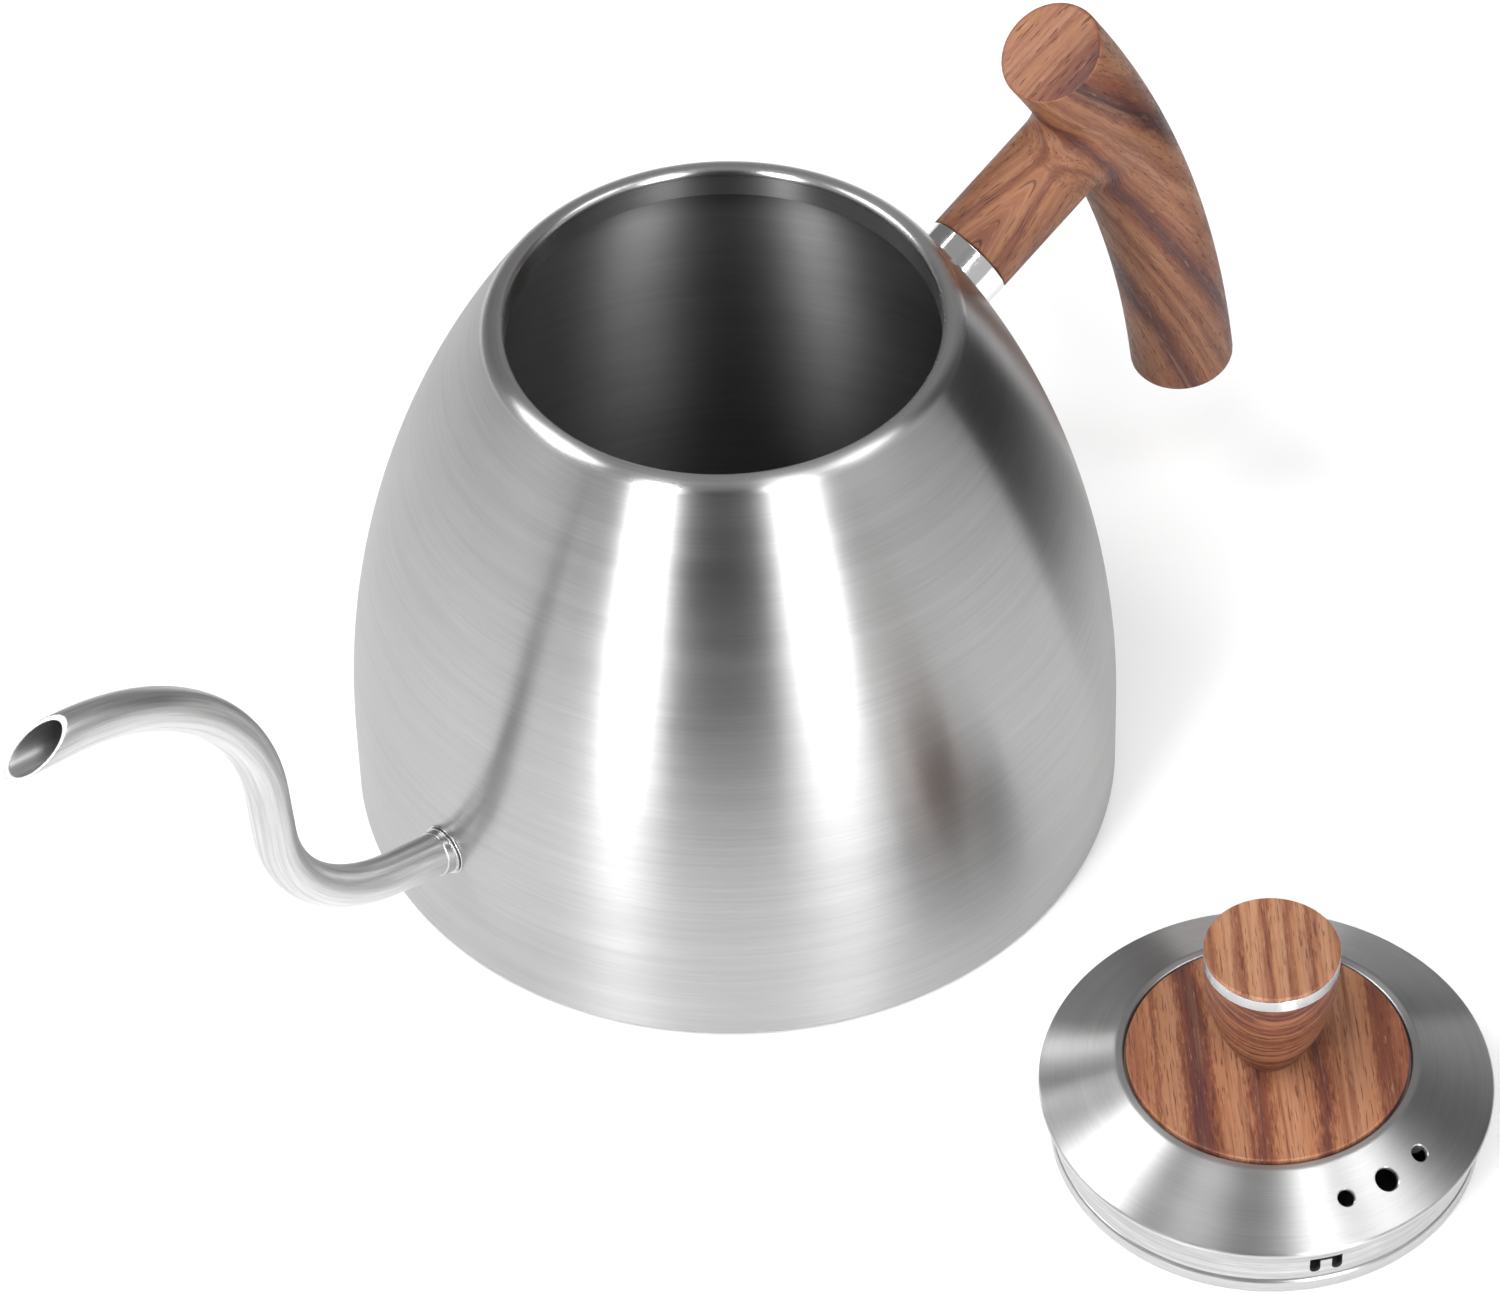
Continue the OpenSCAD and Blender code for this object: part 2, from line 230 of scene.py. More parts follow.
def write_grain(mesh, grain, domain="POINT"):
    """Keeps grain coordinates, in metres, as the vector attribute that the materials read."""
    layer = mesh.attributes.get("grain") or mesh.attributes.new("grain", "FLOAT_VECTOR", domain)
    layer.data.foreach_set("vector", np.array(grain, np.float32).ravel())


@contextmanager
def edited(mesh):
    """Opens a mesh as a bmesh, and writes it back at the end of the block."""
    made = bmesh.new()
    made.from_mesh(mesh)
    yield made
    made.to_mesh(mesh)
    made.free()


def apply_modifiers(piece):
    """Gives a piece the mesh that its modifiers make, in place of the old one."""
    bpy.context.view_layer.update()
    depsgraph = bpy.context.evaluated_depsgraph_get()
    mesh = bpy.data.meshes.new_from_object(piece.evaluated_get(depsgraph))
    piece.modifiers.clear()
    old, piece.data = piece.data, mesh
    bpy.data.meshes.remove(old)


def make_object(name, verts, faces, uvs, grain, loop_normals=None):
    """A mesh object in the row frame from millimetre vertices, with UVs and grain coordinates."""
    mesh = bpy.data.meshes.new(name)
    mesh.from_pydata([tuple(c * MM for c in v) for v in verts], [], faces)
    layer = mesh.uv_layers.new(name="UVMap")
    layer.data.foreach_set("uv", np.array(uvs, np.float32).ravel())
    write_grain(mesh, grain)
    mesh.validate(verbose=False)
    mesh.update()
    mesh.shade_smooth()
    if loop_normals is not None:
        mesh.normals_split_custom_set([tuple(n) for n in loop_normals])
    return link(name, mesh)


def turned(name, runs, axis=KETTLE_AXIS, base=0.0, segments=192):
    """A turned solid: the profile's runs swept round a vertical axis at (x, y)."""
    verts, faces, normals, uvs, grain = [], [], [], [], []
    rings = {}

    def ring_of(r, z):
        key = (round(r, 5), round(z, 5))
        if key not in rings:
            rings[key] = len(verts)
            count = 1 if r < TINY else segments
            for k in range(count):
                a = 2 * pi * k / segments
                x, y = r * cos(a), r * sin(a)
                verts.append((axis[0] + x, axis[1] + y, base + z))
                grain.append((x * MM, y * MM, (z - r) * MM))
        return rings[key]

    along = 0.0
    for run in runs:
        for (r0, z0, *n0), (r1, z1, *n1) in zip(run, run[1:]):
            low, high = ring_of(r0, z0), ring_of(r1, z1)
            length = hypot(r1 - r0, z1 - z0)
            for k in range(segments):
                j = (k + 1) % segments
                corners = [
                    (low + k, k, n0, 0), (low + j, k + 1, n0, 0),
                    (high + j, k + 1, n1, 1), (high + k, k, n1, 1),
                ]
                if r0 < TINY:
                    corners[:2] = [(low, k, n0, 0)]
                elif r1 < TINY:
                    corners[2:] = [(high, k, n1, 1)]
                faces.append([c[0] for c in corners])
                for _, turn, n, top in corners:
                    a = 2 * pi * turn / segments
                    normals.append((n[0] * cos(a), n[0] * sin(a), n[1]))
                    uvs.append((turn / segments, (along + top * length) * MM))
            along += length
    piece = make_object(name, verts, faces, uvs, grain, normals)
    NORMALS[name] = np.array(normals)
    return piece


def set_normals(piece, normals):
    """Gives a mesh these normals, one for each face corner."""
    piece.data.normals_split_custom_set([tuple(n) for n in normals])


def profile_normals(piece, runs, axis=KETTLE_AXIS):
    """After a cut: the profile's own normals where a face lies on it, flat ones in the cut, and the
    grain coordinates again."""
    nearest, same_way = 0.06, 0.93
    mesh = piece.data
    places = read(mesh.vertices, "co", 3)
    middle = np.array((*axis, 0.0))
    grain = places - middle * MM
    grain[:, 2] -= np.hypot(grain[:, 0], grain[:, 1])
    write_grain(mesh, grain)
    p = places[read(mesh.loops, "vertex_index", kind=int)] / MM - middle
    sizes = read(mesh.polygons, "loop_total", kind=int)
    flat = np.repeat(read(mesh.polygons, "normal", 3), sizes, axis=0)
    r = np.hypot(p[:, 0], p[:, 1])
    out = p[:, :2] / np.maximum(r, 1e-9)[:, None]
    flat_r = (flat[:, :2] * out).sum(1)
    best = np.full(len(p), nearest)
    result = flat.copy()
    for run in runs:
        for (r0, z0, *n0), (r1, z1, *n1) in zip(run, run[1:]):
            d = np.array((r1 - r0, z1 - z0))
            t = np.clip(((r - r0) * d[0] + (p[:, 2] - z0) * d[1]) / max(d @ d, 1e-12), 0, 1)
            off = np.hypot(r - r0 - t * d[0], p[:, 2] - z0 - t * d[1])
            nr, nz = n0[0] * (1 - t) + n1[0] * t, n0[1] * (1 - t) + n1[1] * t
            size = np.hypot(nr, nz)
            nr, nz = nr / size, nz / size
            hit = (off < best) & (nr * flat_r + nz * flat[:, 2] > same_way)
            best[hit] = off[hit]
            result[hit] = np.stack([nr * out[:, 0], nr * out[:, 1], nz], 1)[hit]
    set_normals(piece, result)


def cut(piece, *cutters):
    """Cuts the given objects out of piece and deletes them."""
    for cutter in cutters:
        modifier = piece.modifiers.new("cut", "BOOLEAN")
        modifier.operation = "DIFFERENCE"
        modifier.solver = "EXACT"
        modifier.object = cutter
    apply_modifiers(piece)
    for cutter in cutters:
        bpy.data.objects.remove(cutter)


def oriented(piece, origin, direction):
    """Turns a piece built round +Z so that +Z points along direction, at origin (millimetres).
    The turn goes into the mesh, so that the object stays at the origin."""
    turn = Vector(direction).to_track_quat("Z", "Y").to_matrix().to_4x4()
    piece.data.transform(Matrix.Translation(Vector(origin) * MM) @ turn)


def finish_piece(piece, body, slot, material, *nodes):
    """Rides a piece on its body, hides the CAD nodes it stands for, and paints it. slot is not
    used.
    """
    piece.data.materials.clear()
    piece.data.materials.append(material)
    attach(piece, body)
    if nodes:
        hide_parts(*nodes)


# ------------ materials

# How deep the scratches, wood pores and moulded grain look, in metres
SCRATCH_DEPTH, PORE_DEPTH, PEBBLE_DEPTH = 0.00004, 0.0001, 0.00005
# Heights in metres where the lip's crest turns smoother with a painted highlight, and where painted
# shade begins to darken the inside
LIP_SHINE_Z, INSIDE_PAINTED_SHADE_Z = 0.1158, 0.088


class Nodes:
    """A short way to build the node tree of a material, or of the world."""

    def __init__(self, name, on_cad=False, world=False):
        self.on_cad = on_cad
        self.made = (bpy.data.worlds if world else bpy.data.materials).new(name)
        self.made.use_nodes = True
        self.tree = self.made.node_tree
        self.shader = self.tree.nodes["Background" if world else "Principled BSDF"]

    def add(self, kind, inputs=None, **settings):
        node = self.tree.nodes.new(kind)
        for key, value in settings.items():
            setattr(node, key, value)
        for key, value in (inputs or {}).items():
            self.put(value, node.inputs[key])
        return node

    def put(self, value, socket):
        if isinstance(value, bpy.types.NodeSocket):
            self.tree.links.new(value, socket)
        else:
            socket.default_value = value

    def set(self, **values):
        for key, value in values.items():
            self.put(value, self.shader.inputs[key.replace("_", " ")])

    def source(self):
        """The grain coordinates. CAD meshes have none, and use their own places."""
        if self.on_cad:
            return self.add("ShaderNodeTexCoord").outputs["Object"]
        return self.add("ShaderNodeAttribute", attribute_name="grain").outputs["Vector"]

    def grain(self, scale, shift=(0, 0, 0)):
        inputs = {"Vector": self.source(), "Scale": scale, "Location": shift}
        return self.add("ShaderNodeMapping", inputs).outputs[0]

    def noise(self, vector, detail=3.0, roughness=0.55, distortion=0.0):
        inputs = {"Vector": vector, "Scale": 1.0, "Detail": detail, "Roughness": roughness}
        return self.add("ShaderNodeTexNoise", {**inputs, "Distortion": distortion}).outputs[0]

    def maths(self, operation, *values):
        node = self.add("ShaderNodeMath", operation=operation)
        for value, socket in zip(values, node.inputs):
            self.put(value, socket)
        return node.outputs[0]

    def total(self, first, *others):
        for other in others:
            first = self.maths("ADD", first, other)
        return first

    def remap(self, value, low, high, to_low=0.0, to_high=1.0, smooth=False):
        places = {"From Min": low, "From Max": high, "To Min": to_low, "To Max": to_high}
        kind = "SMOOTHSTEP" if smooth else "LINEAR"
        node = self.add("ShaderNodeMapRange", {"Value": value, **places}, interpolation_type=kind)
        return node.outputs[0]

    def swing(self, value, amount, low=0.3, high=0.7):
        """A noise spread from -amount to amount. Most of a noise lies from 0.3 to 0.7."""
        return self.remap(value, low, high, -amount, amount)

    def mix(self, factor, a, b, blend="MIX"):
        node = self.add("ShaderNodeMix", data_type="RGBA", blend_type=blend)
        for value, socket in ((factor, 0), (a, 6), (b, 7)):
            self.put(value, node.inputs[socket])
        return node.outputs[2]

    def grey_of(self, value):
        inputs = {"Red": value, "Green": value, "Blue": value}
        return self.add("ShaderNodeCombineColor", inputs).outputs[0]

    def ramp(self, value, stops):
        node = self.add("ShaderNodeValToRGB", {"Fac": value})
        ramp = node.color_ramp
        while len(ramp.elements) < len(stops):
            ramp.elements.new(0.5)
        for element, (place, colour) in zip(ramp.elements, stops):
            element.position = place
            element.color = colour
        return node.outputs[0]

    def bump(self, height, strength, distance):
        inputs = {"Height": height, "Strength": strength, "Distance": distance}
        return self.add("ShaderNodeBump", inputs).outputs[0]


def grey(v):
    return (v, v, v, 1.0)


def brushed_steel(
    name, tone, rough, anisotropy, long_scale=24, fine_scale=1500, along_tube=False,
    polish_and_highlight_above=None, painted_shade_above=None, marks=0.10, on_cad=False,
):
    """Satin steel: hair-fine scratches, softer streaks between them and a faint cloudy stain."""
    n = Nodes(name, on_cad)
    hard = (long_scale, fine_scale if along_tube else long_scale, fine_scale)
    soft_long, soft_fine = long_scale / 2, fine_scale * 0.16
    soft = (soft_long, soft_fine if along_tube else soft_long, soft_fine)
    scratch = n.noise(n.grain(hard), 5, 0.7)
    streak = n.noise(n.grain(soft, (3, 1, 2)), 2, 0.5)
    cloud = n.noise(n.grain((28, 28, 28)), 3, 0.5)
    shades = [n.swing(scratch, marks), n.swing(streak, 0.6 * marks), n.swing(cloud, 0.014)]
    if not along_tube:
        scuff = n.noise(n.grain((150, 150, 2600), (5, 2, 7)), 2, 0.5)
        wide = n.noise(n.grain((36, 36, 700), (1, 8, 4)), 3, 0.65)
        shades += [
            n.remap(scuff, 0.60, 0.72, 0.0, 0.9 * marks),
            n.remap(scuff, 0.40, 0.28, 0.0, -0.7 * marks),
            n.swing(wide, 0.4 * marks),
        ]
    value = n.maths("ADD", tone, n.total(*shades))
    roughness = n.total(rough, n.swing(streak, 0.3 * marks), n.swing(cloud, 0.025))
    place = n.add("ShaderNodeTexCoord").outputs["Object"]
    height = n.add("ShaderNodeSeparateXYZ", {"Vector": place}).outputs["Z"]
    # Painted shade: the steel's colour darkens towards the top, down to 0.45 of itself
    if painted_shade_above:
        dark = n.remap(height, painted_shade_above, painted_shade_above + 0.018, 1.0, 0.45, smooth=True)
        value = n.maths("MULTIPLY", value, dark)
    # Partly real, partly painted: the crest is smoother (polish), and its colour is 1.4 times
    # brighter as a painted highlight
    if polish_and_highlight_above:
        ends = (polish_and_highlight_above, polish_and_highlight_above + 0.001)
        value = n.maths("MULTIPLY", value, n.remap(height, *ends, 1.0, 1.4, smooth=True))
        roughness = n.maths("SUBTRACT", roughness, n.remap(height, *ends, 0.0, 0.06, smooth=True))
    n.set(
        Base_Color=n.grey_of(value), Metallic=1.0, Roughness=roughness,
        Anisotropic=anisotropy, Normal=n.bump(scratch, 0.05, SCRATCH_DEPTH),
    )
    if anisotropy > 0 and not along_tube:
        tangent = n.add("ShaderNodeTangent", direction_type="RADIAL", axis="Z")
        n.set(Tangent=tangent.outputs[0], Anisotropic_Rotation=0.25)
    return n.made


def polished(name, tone=0.82, rough=0.07):
    """Bright plated metal with a few light wipe marks."""
    n = Nodes(name)
    wipe = n.noise(n.grain((900, 900, 900)), 4, 0.6, 0.5)
    cloud = n.noise(n.grain((120, 120, 120)), 2)
    roughness = n.maths("ADD", rough, n.remap(wipe, 0.45, 0.75, 0.0, 0.08))
    value = n.remap(cloud, 0.3, 0.7, tone - 0.02, tone + 0.02)
    n.set(Base_Color=n.grey_of(value), Metallic=1.0, Roughness=roughness)
    return n.made


def srgb(r, g, b):
    """A colour given as 0-255 display values, as Blender's linear one."""
    return tuple(((c / 255 + 0.055) / 1.055) ** 2.4 for c in (r, g, b)) + (1.0,)


TAN = srgb(196, 142, 100)
HONEY = srgb(186, 128, 84)
BROWN = srgb(158, 100, 66)
RUSSET = srgb(136, 80, 54)
PLUM = srgb(102, 62, 54)
UMBER = srgb(78, 46, 42)
FLECK = srgb(214, 168, 126)
# How far apart the knob's dark lines are, in metres
LINE_GAP = 0.0016

# Streaks across the grain: (millimetres across, colour)
GRIP_STREAKS = (
    (-26, BROWN), (-22, RUSSET), (-19, HONEY), (-16.6, BROWN), (-15.6, PLUM), (-14, PLUM),
    (-12.8, RUSSET), (-11, HONEY), (-9, BROWN), (-7.6, HONEY), (-6.4, RUSSET), (-5.2, HONEY),
    (-3.4, BROWN), (-2.0, RUSSET), (-1.2, PLUM), (0.4, PLUM), (1.4, RUSSET), (3.2, BROWN),
    (5, HONEY), (6.4, BROWN), (7.4, TAN), (9, BROWN), (11.4, HONEY), (12.6, RUSSET),
    (13.6, UMBER), (15, UMBER), (16.2, RUSSET), (18, BROWN), (20, HONEY), (24, BROWN),
)
INLAY_STREAKS = (
    (-27, BROWN), (-24, BROWN), (-22, HONEY), (-20.6, RUSSET), (-20, HONEY), (-17, TAN),
    (-15.6, BROWN), (-14.4, PLUM), (-12.2, PLUM), (-11.0, RUSSET), (-9.6, HONEY), (-6, TAN),
    (-4.4, BROWN), (-3.2, PLUM), (-1.6, RUSSET), (0, HONEY), (3, TAN), (6.6, HONEY),
    (7.8, RUSSET), (8.8, PLUM), (9.8, RUSSET), (11, HONEY), (15, TAN), (18.6, HONEY),
    (20.2, RUSSET), (21.6, PLUM), (23.2, RUSSET), (24.4, BROWN), (27, RUSSET),
)
CAP_STREAKS = (
    (-13, BROWN), (-10.4, HONEY), (-8.4, TAN), (-6.8, BROWN), (-6.1, RUSSET), (-5.4, HONEY),
    (-3.4, TAN), (-1.8, BROWN), (-0.9, RUSSET), (-0.1, HONEY), (2, TAN), (3.4, BROWN),
    (4.2, HONEY), (6.4, TAN), (7.6, RUSSET), (8.4, HONEY), (10.6, TAN), (13, BROWN),
)
KNOB_STREAKS = (
    (-3, RUSSET), (-0.5, BROWN), (1.0, HONEY), (2.2, BROWN), (3.4, HONEY), (5.2, HONEY),
    (6.0, RUSSET), (7.2, HONEY), (9.4, TAN), (10.4, BROWN), (11.4, HONEY), (13.0, HONEY),
    (14.6, BROWN), (15.6, BROWN), (17.4, HONEY), (18.6, RUSSET), (20.2, BROWN), (22, HONEY),
    (23.4, RUSSET), (25, BROWN), (28, HONEY),
)


def wood(
    name, streaks, shift=0.0, wander=1.0, ragged=0.5, fine=1.0, tint=(1.0, 1.0, 1.0), lines=0.0
):
    """Wood-grain finish. The grain attribute runs along the grain in x and across it in y and z."""
    n = Nodes(name)

    def texture(along, across, deep, extra, detail, roughness):
        """Noise at scales along, across and into the wood, each kind with a shift of its own."""
        place = (shift + extra, extra * 1.7, shift - extra)
        return n.noise(n.grain((along, across, deep), place), detail, roughness)

    slow = texture(24, 45, 45, 0.0, 2, 0.5)
    quick = texture(150, 420, 160, 3.1, 3, 0.6)
    tooth = texture(420, 2600, 700, 5.7, 2, 0.6)
    across = n.total(
        n.add("ShaderNodeSeparateXYZ", {"Vector": n.source()}).outputs["Y"],
        n.swing(slow, 0.0016 * wander, 0.2, 0.8), n.swing(quick, 0.0005 * ragged, 0.2, 0.8),
        n.swing(tooth, 0.0007 * ragged, 0.2, 0.8),
    )
    low, high = streaks[0][0] * MM, streaks[-1][0] * MM
    stops = [((c * MM - low) / (high - low), colour) for c, colour in streaks]
    colour = n.ramp(n.remap(across, low, high), stops)

    hair = texture(30, 1500, 520, 9.1, 4, 0.65)
    band = texture(13, 430, 150, 4.3, 3, 0.6)
    cloud = texture(22, 70, 60, 7.7, 3, 0.5)
    for noise, start, end, amount, over in (
        (band, 0.52, 0.70, 0.75 * fine, RUSSET), (band, 0.46, 0.30, 0.5, TAN),
        (hair, 0.50, 0.72, 0.8 * fine, RUSSET), (hair, 0.46, 0.30, 0.35, TAN),
    ):
        colour = n.mix(n.remap(noise, start, end, 0.0, amount), colour, over)
    holes = n.remap(texture(230, 3000, 1500, 2.7, 2, 0.5), 0.60, 0.68, smooth=True)
    fleck = texture(260, 2600, 1400, 6.4, 2, 0.5)
    colour = n.mix(n.maths("MULTIPLY", holes, 0.62), colour, UMBER)
    colour = n.mix(n.remap(fleck, 0.64, 0.74, 0.0, 0.4), colour, FLECK)
    if lines:
        sway = n.swing(texture(28, 260, 60, 8.3, 3, 0.6), 6.0, 0.2, 0.8)
        turns = n.maths("MULTIPLY", across, 2 * pi / LINE_GAP)
        wave = n.maths("SINE", n.maths("ADD", turns, sway))
        breaks = n.remap(texture(90, 700, 90, 6.8, 2, 0.5), 0.36, 0.60, 0.35, 1.0)
        drawn = n.maths("MULTIPLY", n.remap(wave, 0.1, 0.85, 0.0, lines), breaks)
        colour = n.mix(drawn, colour, PLUM)
    shade = n.remap(cloud, 0.3, 0.7, 0.84, 1.14)
    shares = {key: n.maths("MULTIPLY", shade, t) for key, t in zip(("Red", "Green", "Blue"), tint)}
    veil = n.add("ShaderNodeCombineColor", shares).outputs[0]
    rough = n.maths("ADD", n.remap(hair, 0.3, 0.7, 0.42, 0.54), n.maths("MULTIPLY", holes, 0.15))
    height = n.maths("SUBTRACT", n.maths("MULTIPLY", hair, -0.3), holes)
    n.set(
        Base_Color=n.mix(1.0, colour, veil, "MULTIPLY"), Roughness=rough, Specular_IOR_Level=0.32,
        Normal=n.bump(height, 0.35, PORE_DEPTH),
    )
    return n.made


def moulded(name, tone, rough):
    """Matte rubber or plastic with a fine moulded grain."""
    n = Nodes(name, on_cad=True)
    fine = n.noise(n.grain((2500, 2500, 2500)), 3, 0.6)
    cloud = n.noise(n.grain((200, 200, 200)), 2)
    value = n.remap(cloud, 0.3, 0.7, tone * 0.85, tone * 1.15)
    n.set(
        Base_Color=n.grey_of(value), Normal=n.bump(fine, 0.2, PEBBLE_DEPTH),
        Roughness=n.remap(fine, 0.3, 0.7, rough - 0.06, rough + 0.06),
    )
    return n.made


def cast_metal(name, colour, rough):
    """Plain machined metal, for pieces inside: brass inserts, aluminium, zinc-plated screws."""
    n = Nodes(name, on_cad=True)
    fine = n.noise(n.grain((600, 600, 3000)), 3, 0.6)
    darker = tuple(c * 0.82 for c in colour[:3]) + (1,)
    n.set(
        Base_Color=n.mix(n.remap(fine, 0.3, 0.7), darker, colour), Metallic=1.0,
        Roughness=n.remap(fine, 0.3, 0.7, rough - 0.06, rough + 0.08),
        Normal=n.bump(fine, 0.15, SCRATCH_DEPTH),
    )
    return n.made


# Steel: tone, roughness, and how far the brushing draws out the gloss
TUBE_BRUSH = {"long_scale": 36, "fine_scale": 1300, "along_tube": True}
# The body and lip share this steel, with a painted highlight on the lip's crest
STEEL_BODY = brushed_steel("steel_body", 0.435, 0.33, 0.9, polish_and_highlight_above=LIP_SHINE_Z, marks=0.026)
# The inside is the body's own sheet, given a darker tone as painted shade, and more painted shade
# towards its top
STEEL_INSIDE = brushed_steel("steel_inside", 0.33, 0.48, 1.0, painted_shade_above=INSIDE_PAINTED_SHADE_Z, marks=0.018)
BEAD_STEEL = brushed_steel("bead_steel", 0.50, 0.30, 0.5, marks=0.035)
STEEL_LID = brushed_steel("steel_lid", 0.58, 0.34, 0.85, long_scale=60, marks=0.030)
STEEL_SPOUT = brushed_steel("steel_spout", 0.53, 0.42, 0.0, marks=0.12, **TUBE_BRUSH)
COLLAR_STEEL = brushed_steel("collar_steel", 0.54, 0.26, 0.0, marks=0.06, **TUBE_BRUSH)
CHROME = polished("chrome")
BAND_METAL = polished("band_metal", 0.72, 0.20)
PAN_STEEL = brushed_steel("pan_steel", 0.50, 0.45, 0.0, on_cad=True)
SKIRT_STEEL = brushed_steel("skirt_steel", 0.48, 0.30, 0.5, on_cad=True)
STEEL_PLAIN = cast_metal("steel_plain", (0.56, 0.56, 0.56, 1), 0.35)
BRASS = cast_metal("brass", (0.72, 0.52, 0.24, 1), 0.3)
ALUMINIUM = cast_metal("aluminium", (0.75, 0.76, 0.77, 1), 0.35)
RUBBER = moulded("rubber", 0.02, 0.6)
WOOD_GRIP = wood("wood_grip", GRIP_STREAKS, ragged=0.8, fine=0.9, tint=(0.59, 0.59, 0.72))
WOOD_INLAY = wood("wood_inlay", INLAY_STREAKS, 5.0, 1.0, 1.6, 1.2, tint=(0.65, 0.64, 0.77))
WOOD_KNOB = wood("wood_knob", KNOB_STREAKS, 1.0, 0.4, 0.4, 0.8, tint=(0.48, 0.43, 0.48), lines=1.0)
WOOD_CAP = wood("wood_cap", CAP_STREAKS, 9.0, 0.8, 0.9, tint=(0.71, 0.75, 0.92))


# ------------ kettle body



WALL_CENTRE = (WALL_ARC_X, BELLY_Z)


def point_on_wall_arc(angle, inset=0.0):
    """(r, z) on the wall's long arc, at an angle from the horizontal in degrees."""
    return step(WALL_CENTRE, angle, WALL_ARC_R - inset)


def wall_angle(z, inset=0.0):
    return degrees(asin((z - BELLY_Z) / (WALL_ARC_R - inset)))


RING_ANGLE, RING_ANGLE_IN = wall_angle(RING_Z), wall_angle(RING_Z, SHEET)


def body_runs():
    """The body's shell: flat foot ring, sharp corner, wall, and the inside of the wall."""
    corner = (BELLY_R - CORNER_R, FOOT_GAP + CORNER_R)
    top, top_in = RING_ANGLE, RING_ANGLE_IN
    foot_top = FOOT_GAP + SHEET
    return [
        line((FOOT_R, FOOT_GAP), (corner[0], FOOT_GAP), 2),
        arc(corner, CORNER_R, -90, 0, 8),
        line((BELLY_R, corner[1]), (BELLY_R, BELLY_Z), 6),
        arc(WALL_CENTRE, WALL_ARC_R, 0, top, 72),
        line(point_on_wall_arc(top), point_on_wall_arc(top_in, SHEET)),
        arc(WALL_CENTRE, WALL_ARC_R - SHEET, top_in, 0, 48),
        line((BELLY_R - SHEET, BELLY_Z), (BELLY_R - SHEET, corner[1]), 4),
        arc(corner, CORNER_R - SHEET, 0, -90, 3),
        line((corner[0], foot_top), (FOOT_R, foot_top), 2),
        line((FOOT_R, foot_top), (FOOT_R, FOOT_GAP)),
    ]


body = turned("body_shell_visual", body_runs(), segments=256)
hole_r = TUBE_R + 0.05
hole_profile = rounded([(0, -12), (hole_r, -12), (hole_r, 12), (0, 12)], 0)
spout_hole = turned("spout_hole", hole_profile, segments=48)
root = (-wall_radius(SPOUT_Z), 0.0, SPOUT_Z)
root_direction = (-cos(radians(ROOT_ANGLE)), 0.0, sin(radians(ROOT_ANGLE)))
oriented(spout_hole, root, root_direction)
cut(body, spout_hole)
profile_normals(body, body_runs())
finish_piece(body, "kettle", "brushed_body", STEEL_BODY, "body_shell")
body.data.materials.append(STEEL_INSIDE)
for face in body.data.polygons:
    outward = face.center.x * face.normal.x + face.center.y * face.normal.y
    if outward < 0 and face.center.z > (FOOT_GAP + SHEET) * MM:
        face.material_index = 1


def lip_runs():
    """The rolled lip: outer round, crest, inner round and the collar's sheet edge."""
    crest_r = WALL_ARC_X + sqrt((WALL_ARC_R - ROLL_R) ** 2 - (BODY_H - ROLL_R - BELLY_Z) ** 2)
    inner_r = crest_r - MOUTH_R
    touch = degrees(asin((BODY_H - ROLL_R - BELLY_Z) / (WALL_ARC_R - ROLL_R)))
    outer_centre = (crest_r, BODY_H - ROLL_R)
    inner_centre = (crest_r, BODY_H - inner_r)
    ring_in = point_on_wall_arc(RING_ANGLE_IN, SHEET)
    edge = 0.25
    edge_z = COLLAR_Z + edge

    return [
        arc(WALL_CENTRE, WALL_ARC_R, RING_ANGLE, touch, 4),
        arc(outer_centre, ROLL_R, touch, 90, 14),
        arc(inner_centre, inner_r, 90, 180, 12),
        line((MOUTH_R, inner_centre[1]), (MOUTH_R, edge_z), 2),
        arc((MOUTH_R + edge, edge_z), edge, 180, 270, 3),
        line((MOUTH_R + edge, COLLAR_Z), (MOUTH_R + SHEET - edge, COLLAR_Z)),
        arc((MOUTH_R + SHEET - edge, edge_z), edge, 270, 360, 3),
        line((MOUTH_R + SHEET, edge_z), (MOUTH_R + SHEET, inner_centre[1])),
        arc(inner_centre, inner_r - SHEET, 180, 90, 6),
        arc(outer_centre, ROLL_R - SHEET, 90, touch, 8),
        line(step(outer_centre, touch, ROLL_R - SHEET), ring_in),
        line(ring_in, point_on_wall_arc(RING_ANGLE)),
    ]


lip = turned("mouth_ring_visual", lip_runs(), segments=256)
finish_piece(lip, "kettle", "brushed_body", STEEL_BODY, "mouth_ring")


# ------------ spout

SPOUT_START = (wall_radius(SPOUT_Z), SPOUT_Z)
# The tube's line in stretches, each with its length and the degrees that it turns
SPOUT_LINE = (
    (ROOT_LEN, 0), (LOW_BEND_R * radians(UPRIGHT_ANGLE - ROOT_ANGLE), UPRIGHT_ANGLE - ROOT_ANGLE),
    (UPRIGHT_LEN, 0), (HIGH_BEND_R * radians(UPRIGHT_ANGLE - TIP_ANGLE), TIP_ANGLE - UPRIGHT_ANGLE),
)
TUBE_END = sum(length for length, _ in SPOUT_LINE) + TIP_LEN
CUT_LEAN = 1 / tan(radians(TIP_ANGLE + TIP_CUT_ANGLE))
# The last stretch of tube, over which its rings lean to meet the slanting cut
LEAN_LEN = 16.0


def spout_at(s):
    """The tube's line at distance s: its point (distance from the axis, height) and its rise."""
    point, angle = SPOUT_START, ROOT_ANGLE
    for length, turn in SPOUT_LINE:
        part = min(s, length)
        half = turn * part / length / 2
        chord = part * sin(radians(half)) / radians(half) if half else part
        point, angle = step(point, angle + half, chord), angle + 2 * half
        s -= part
        if s <= 0:
            return point, angle
    return step(point, angle, s), angle


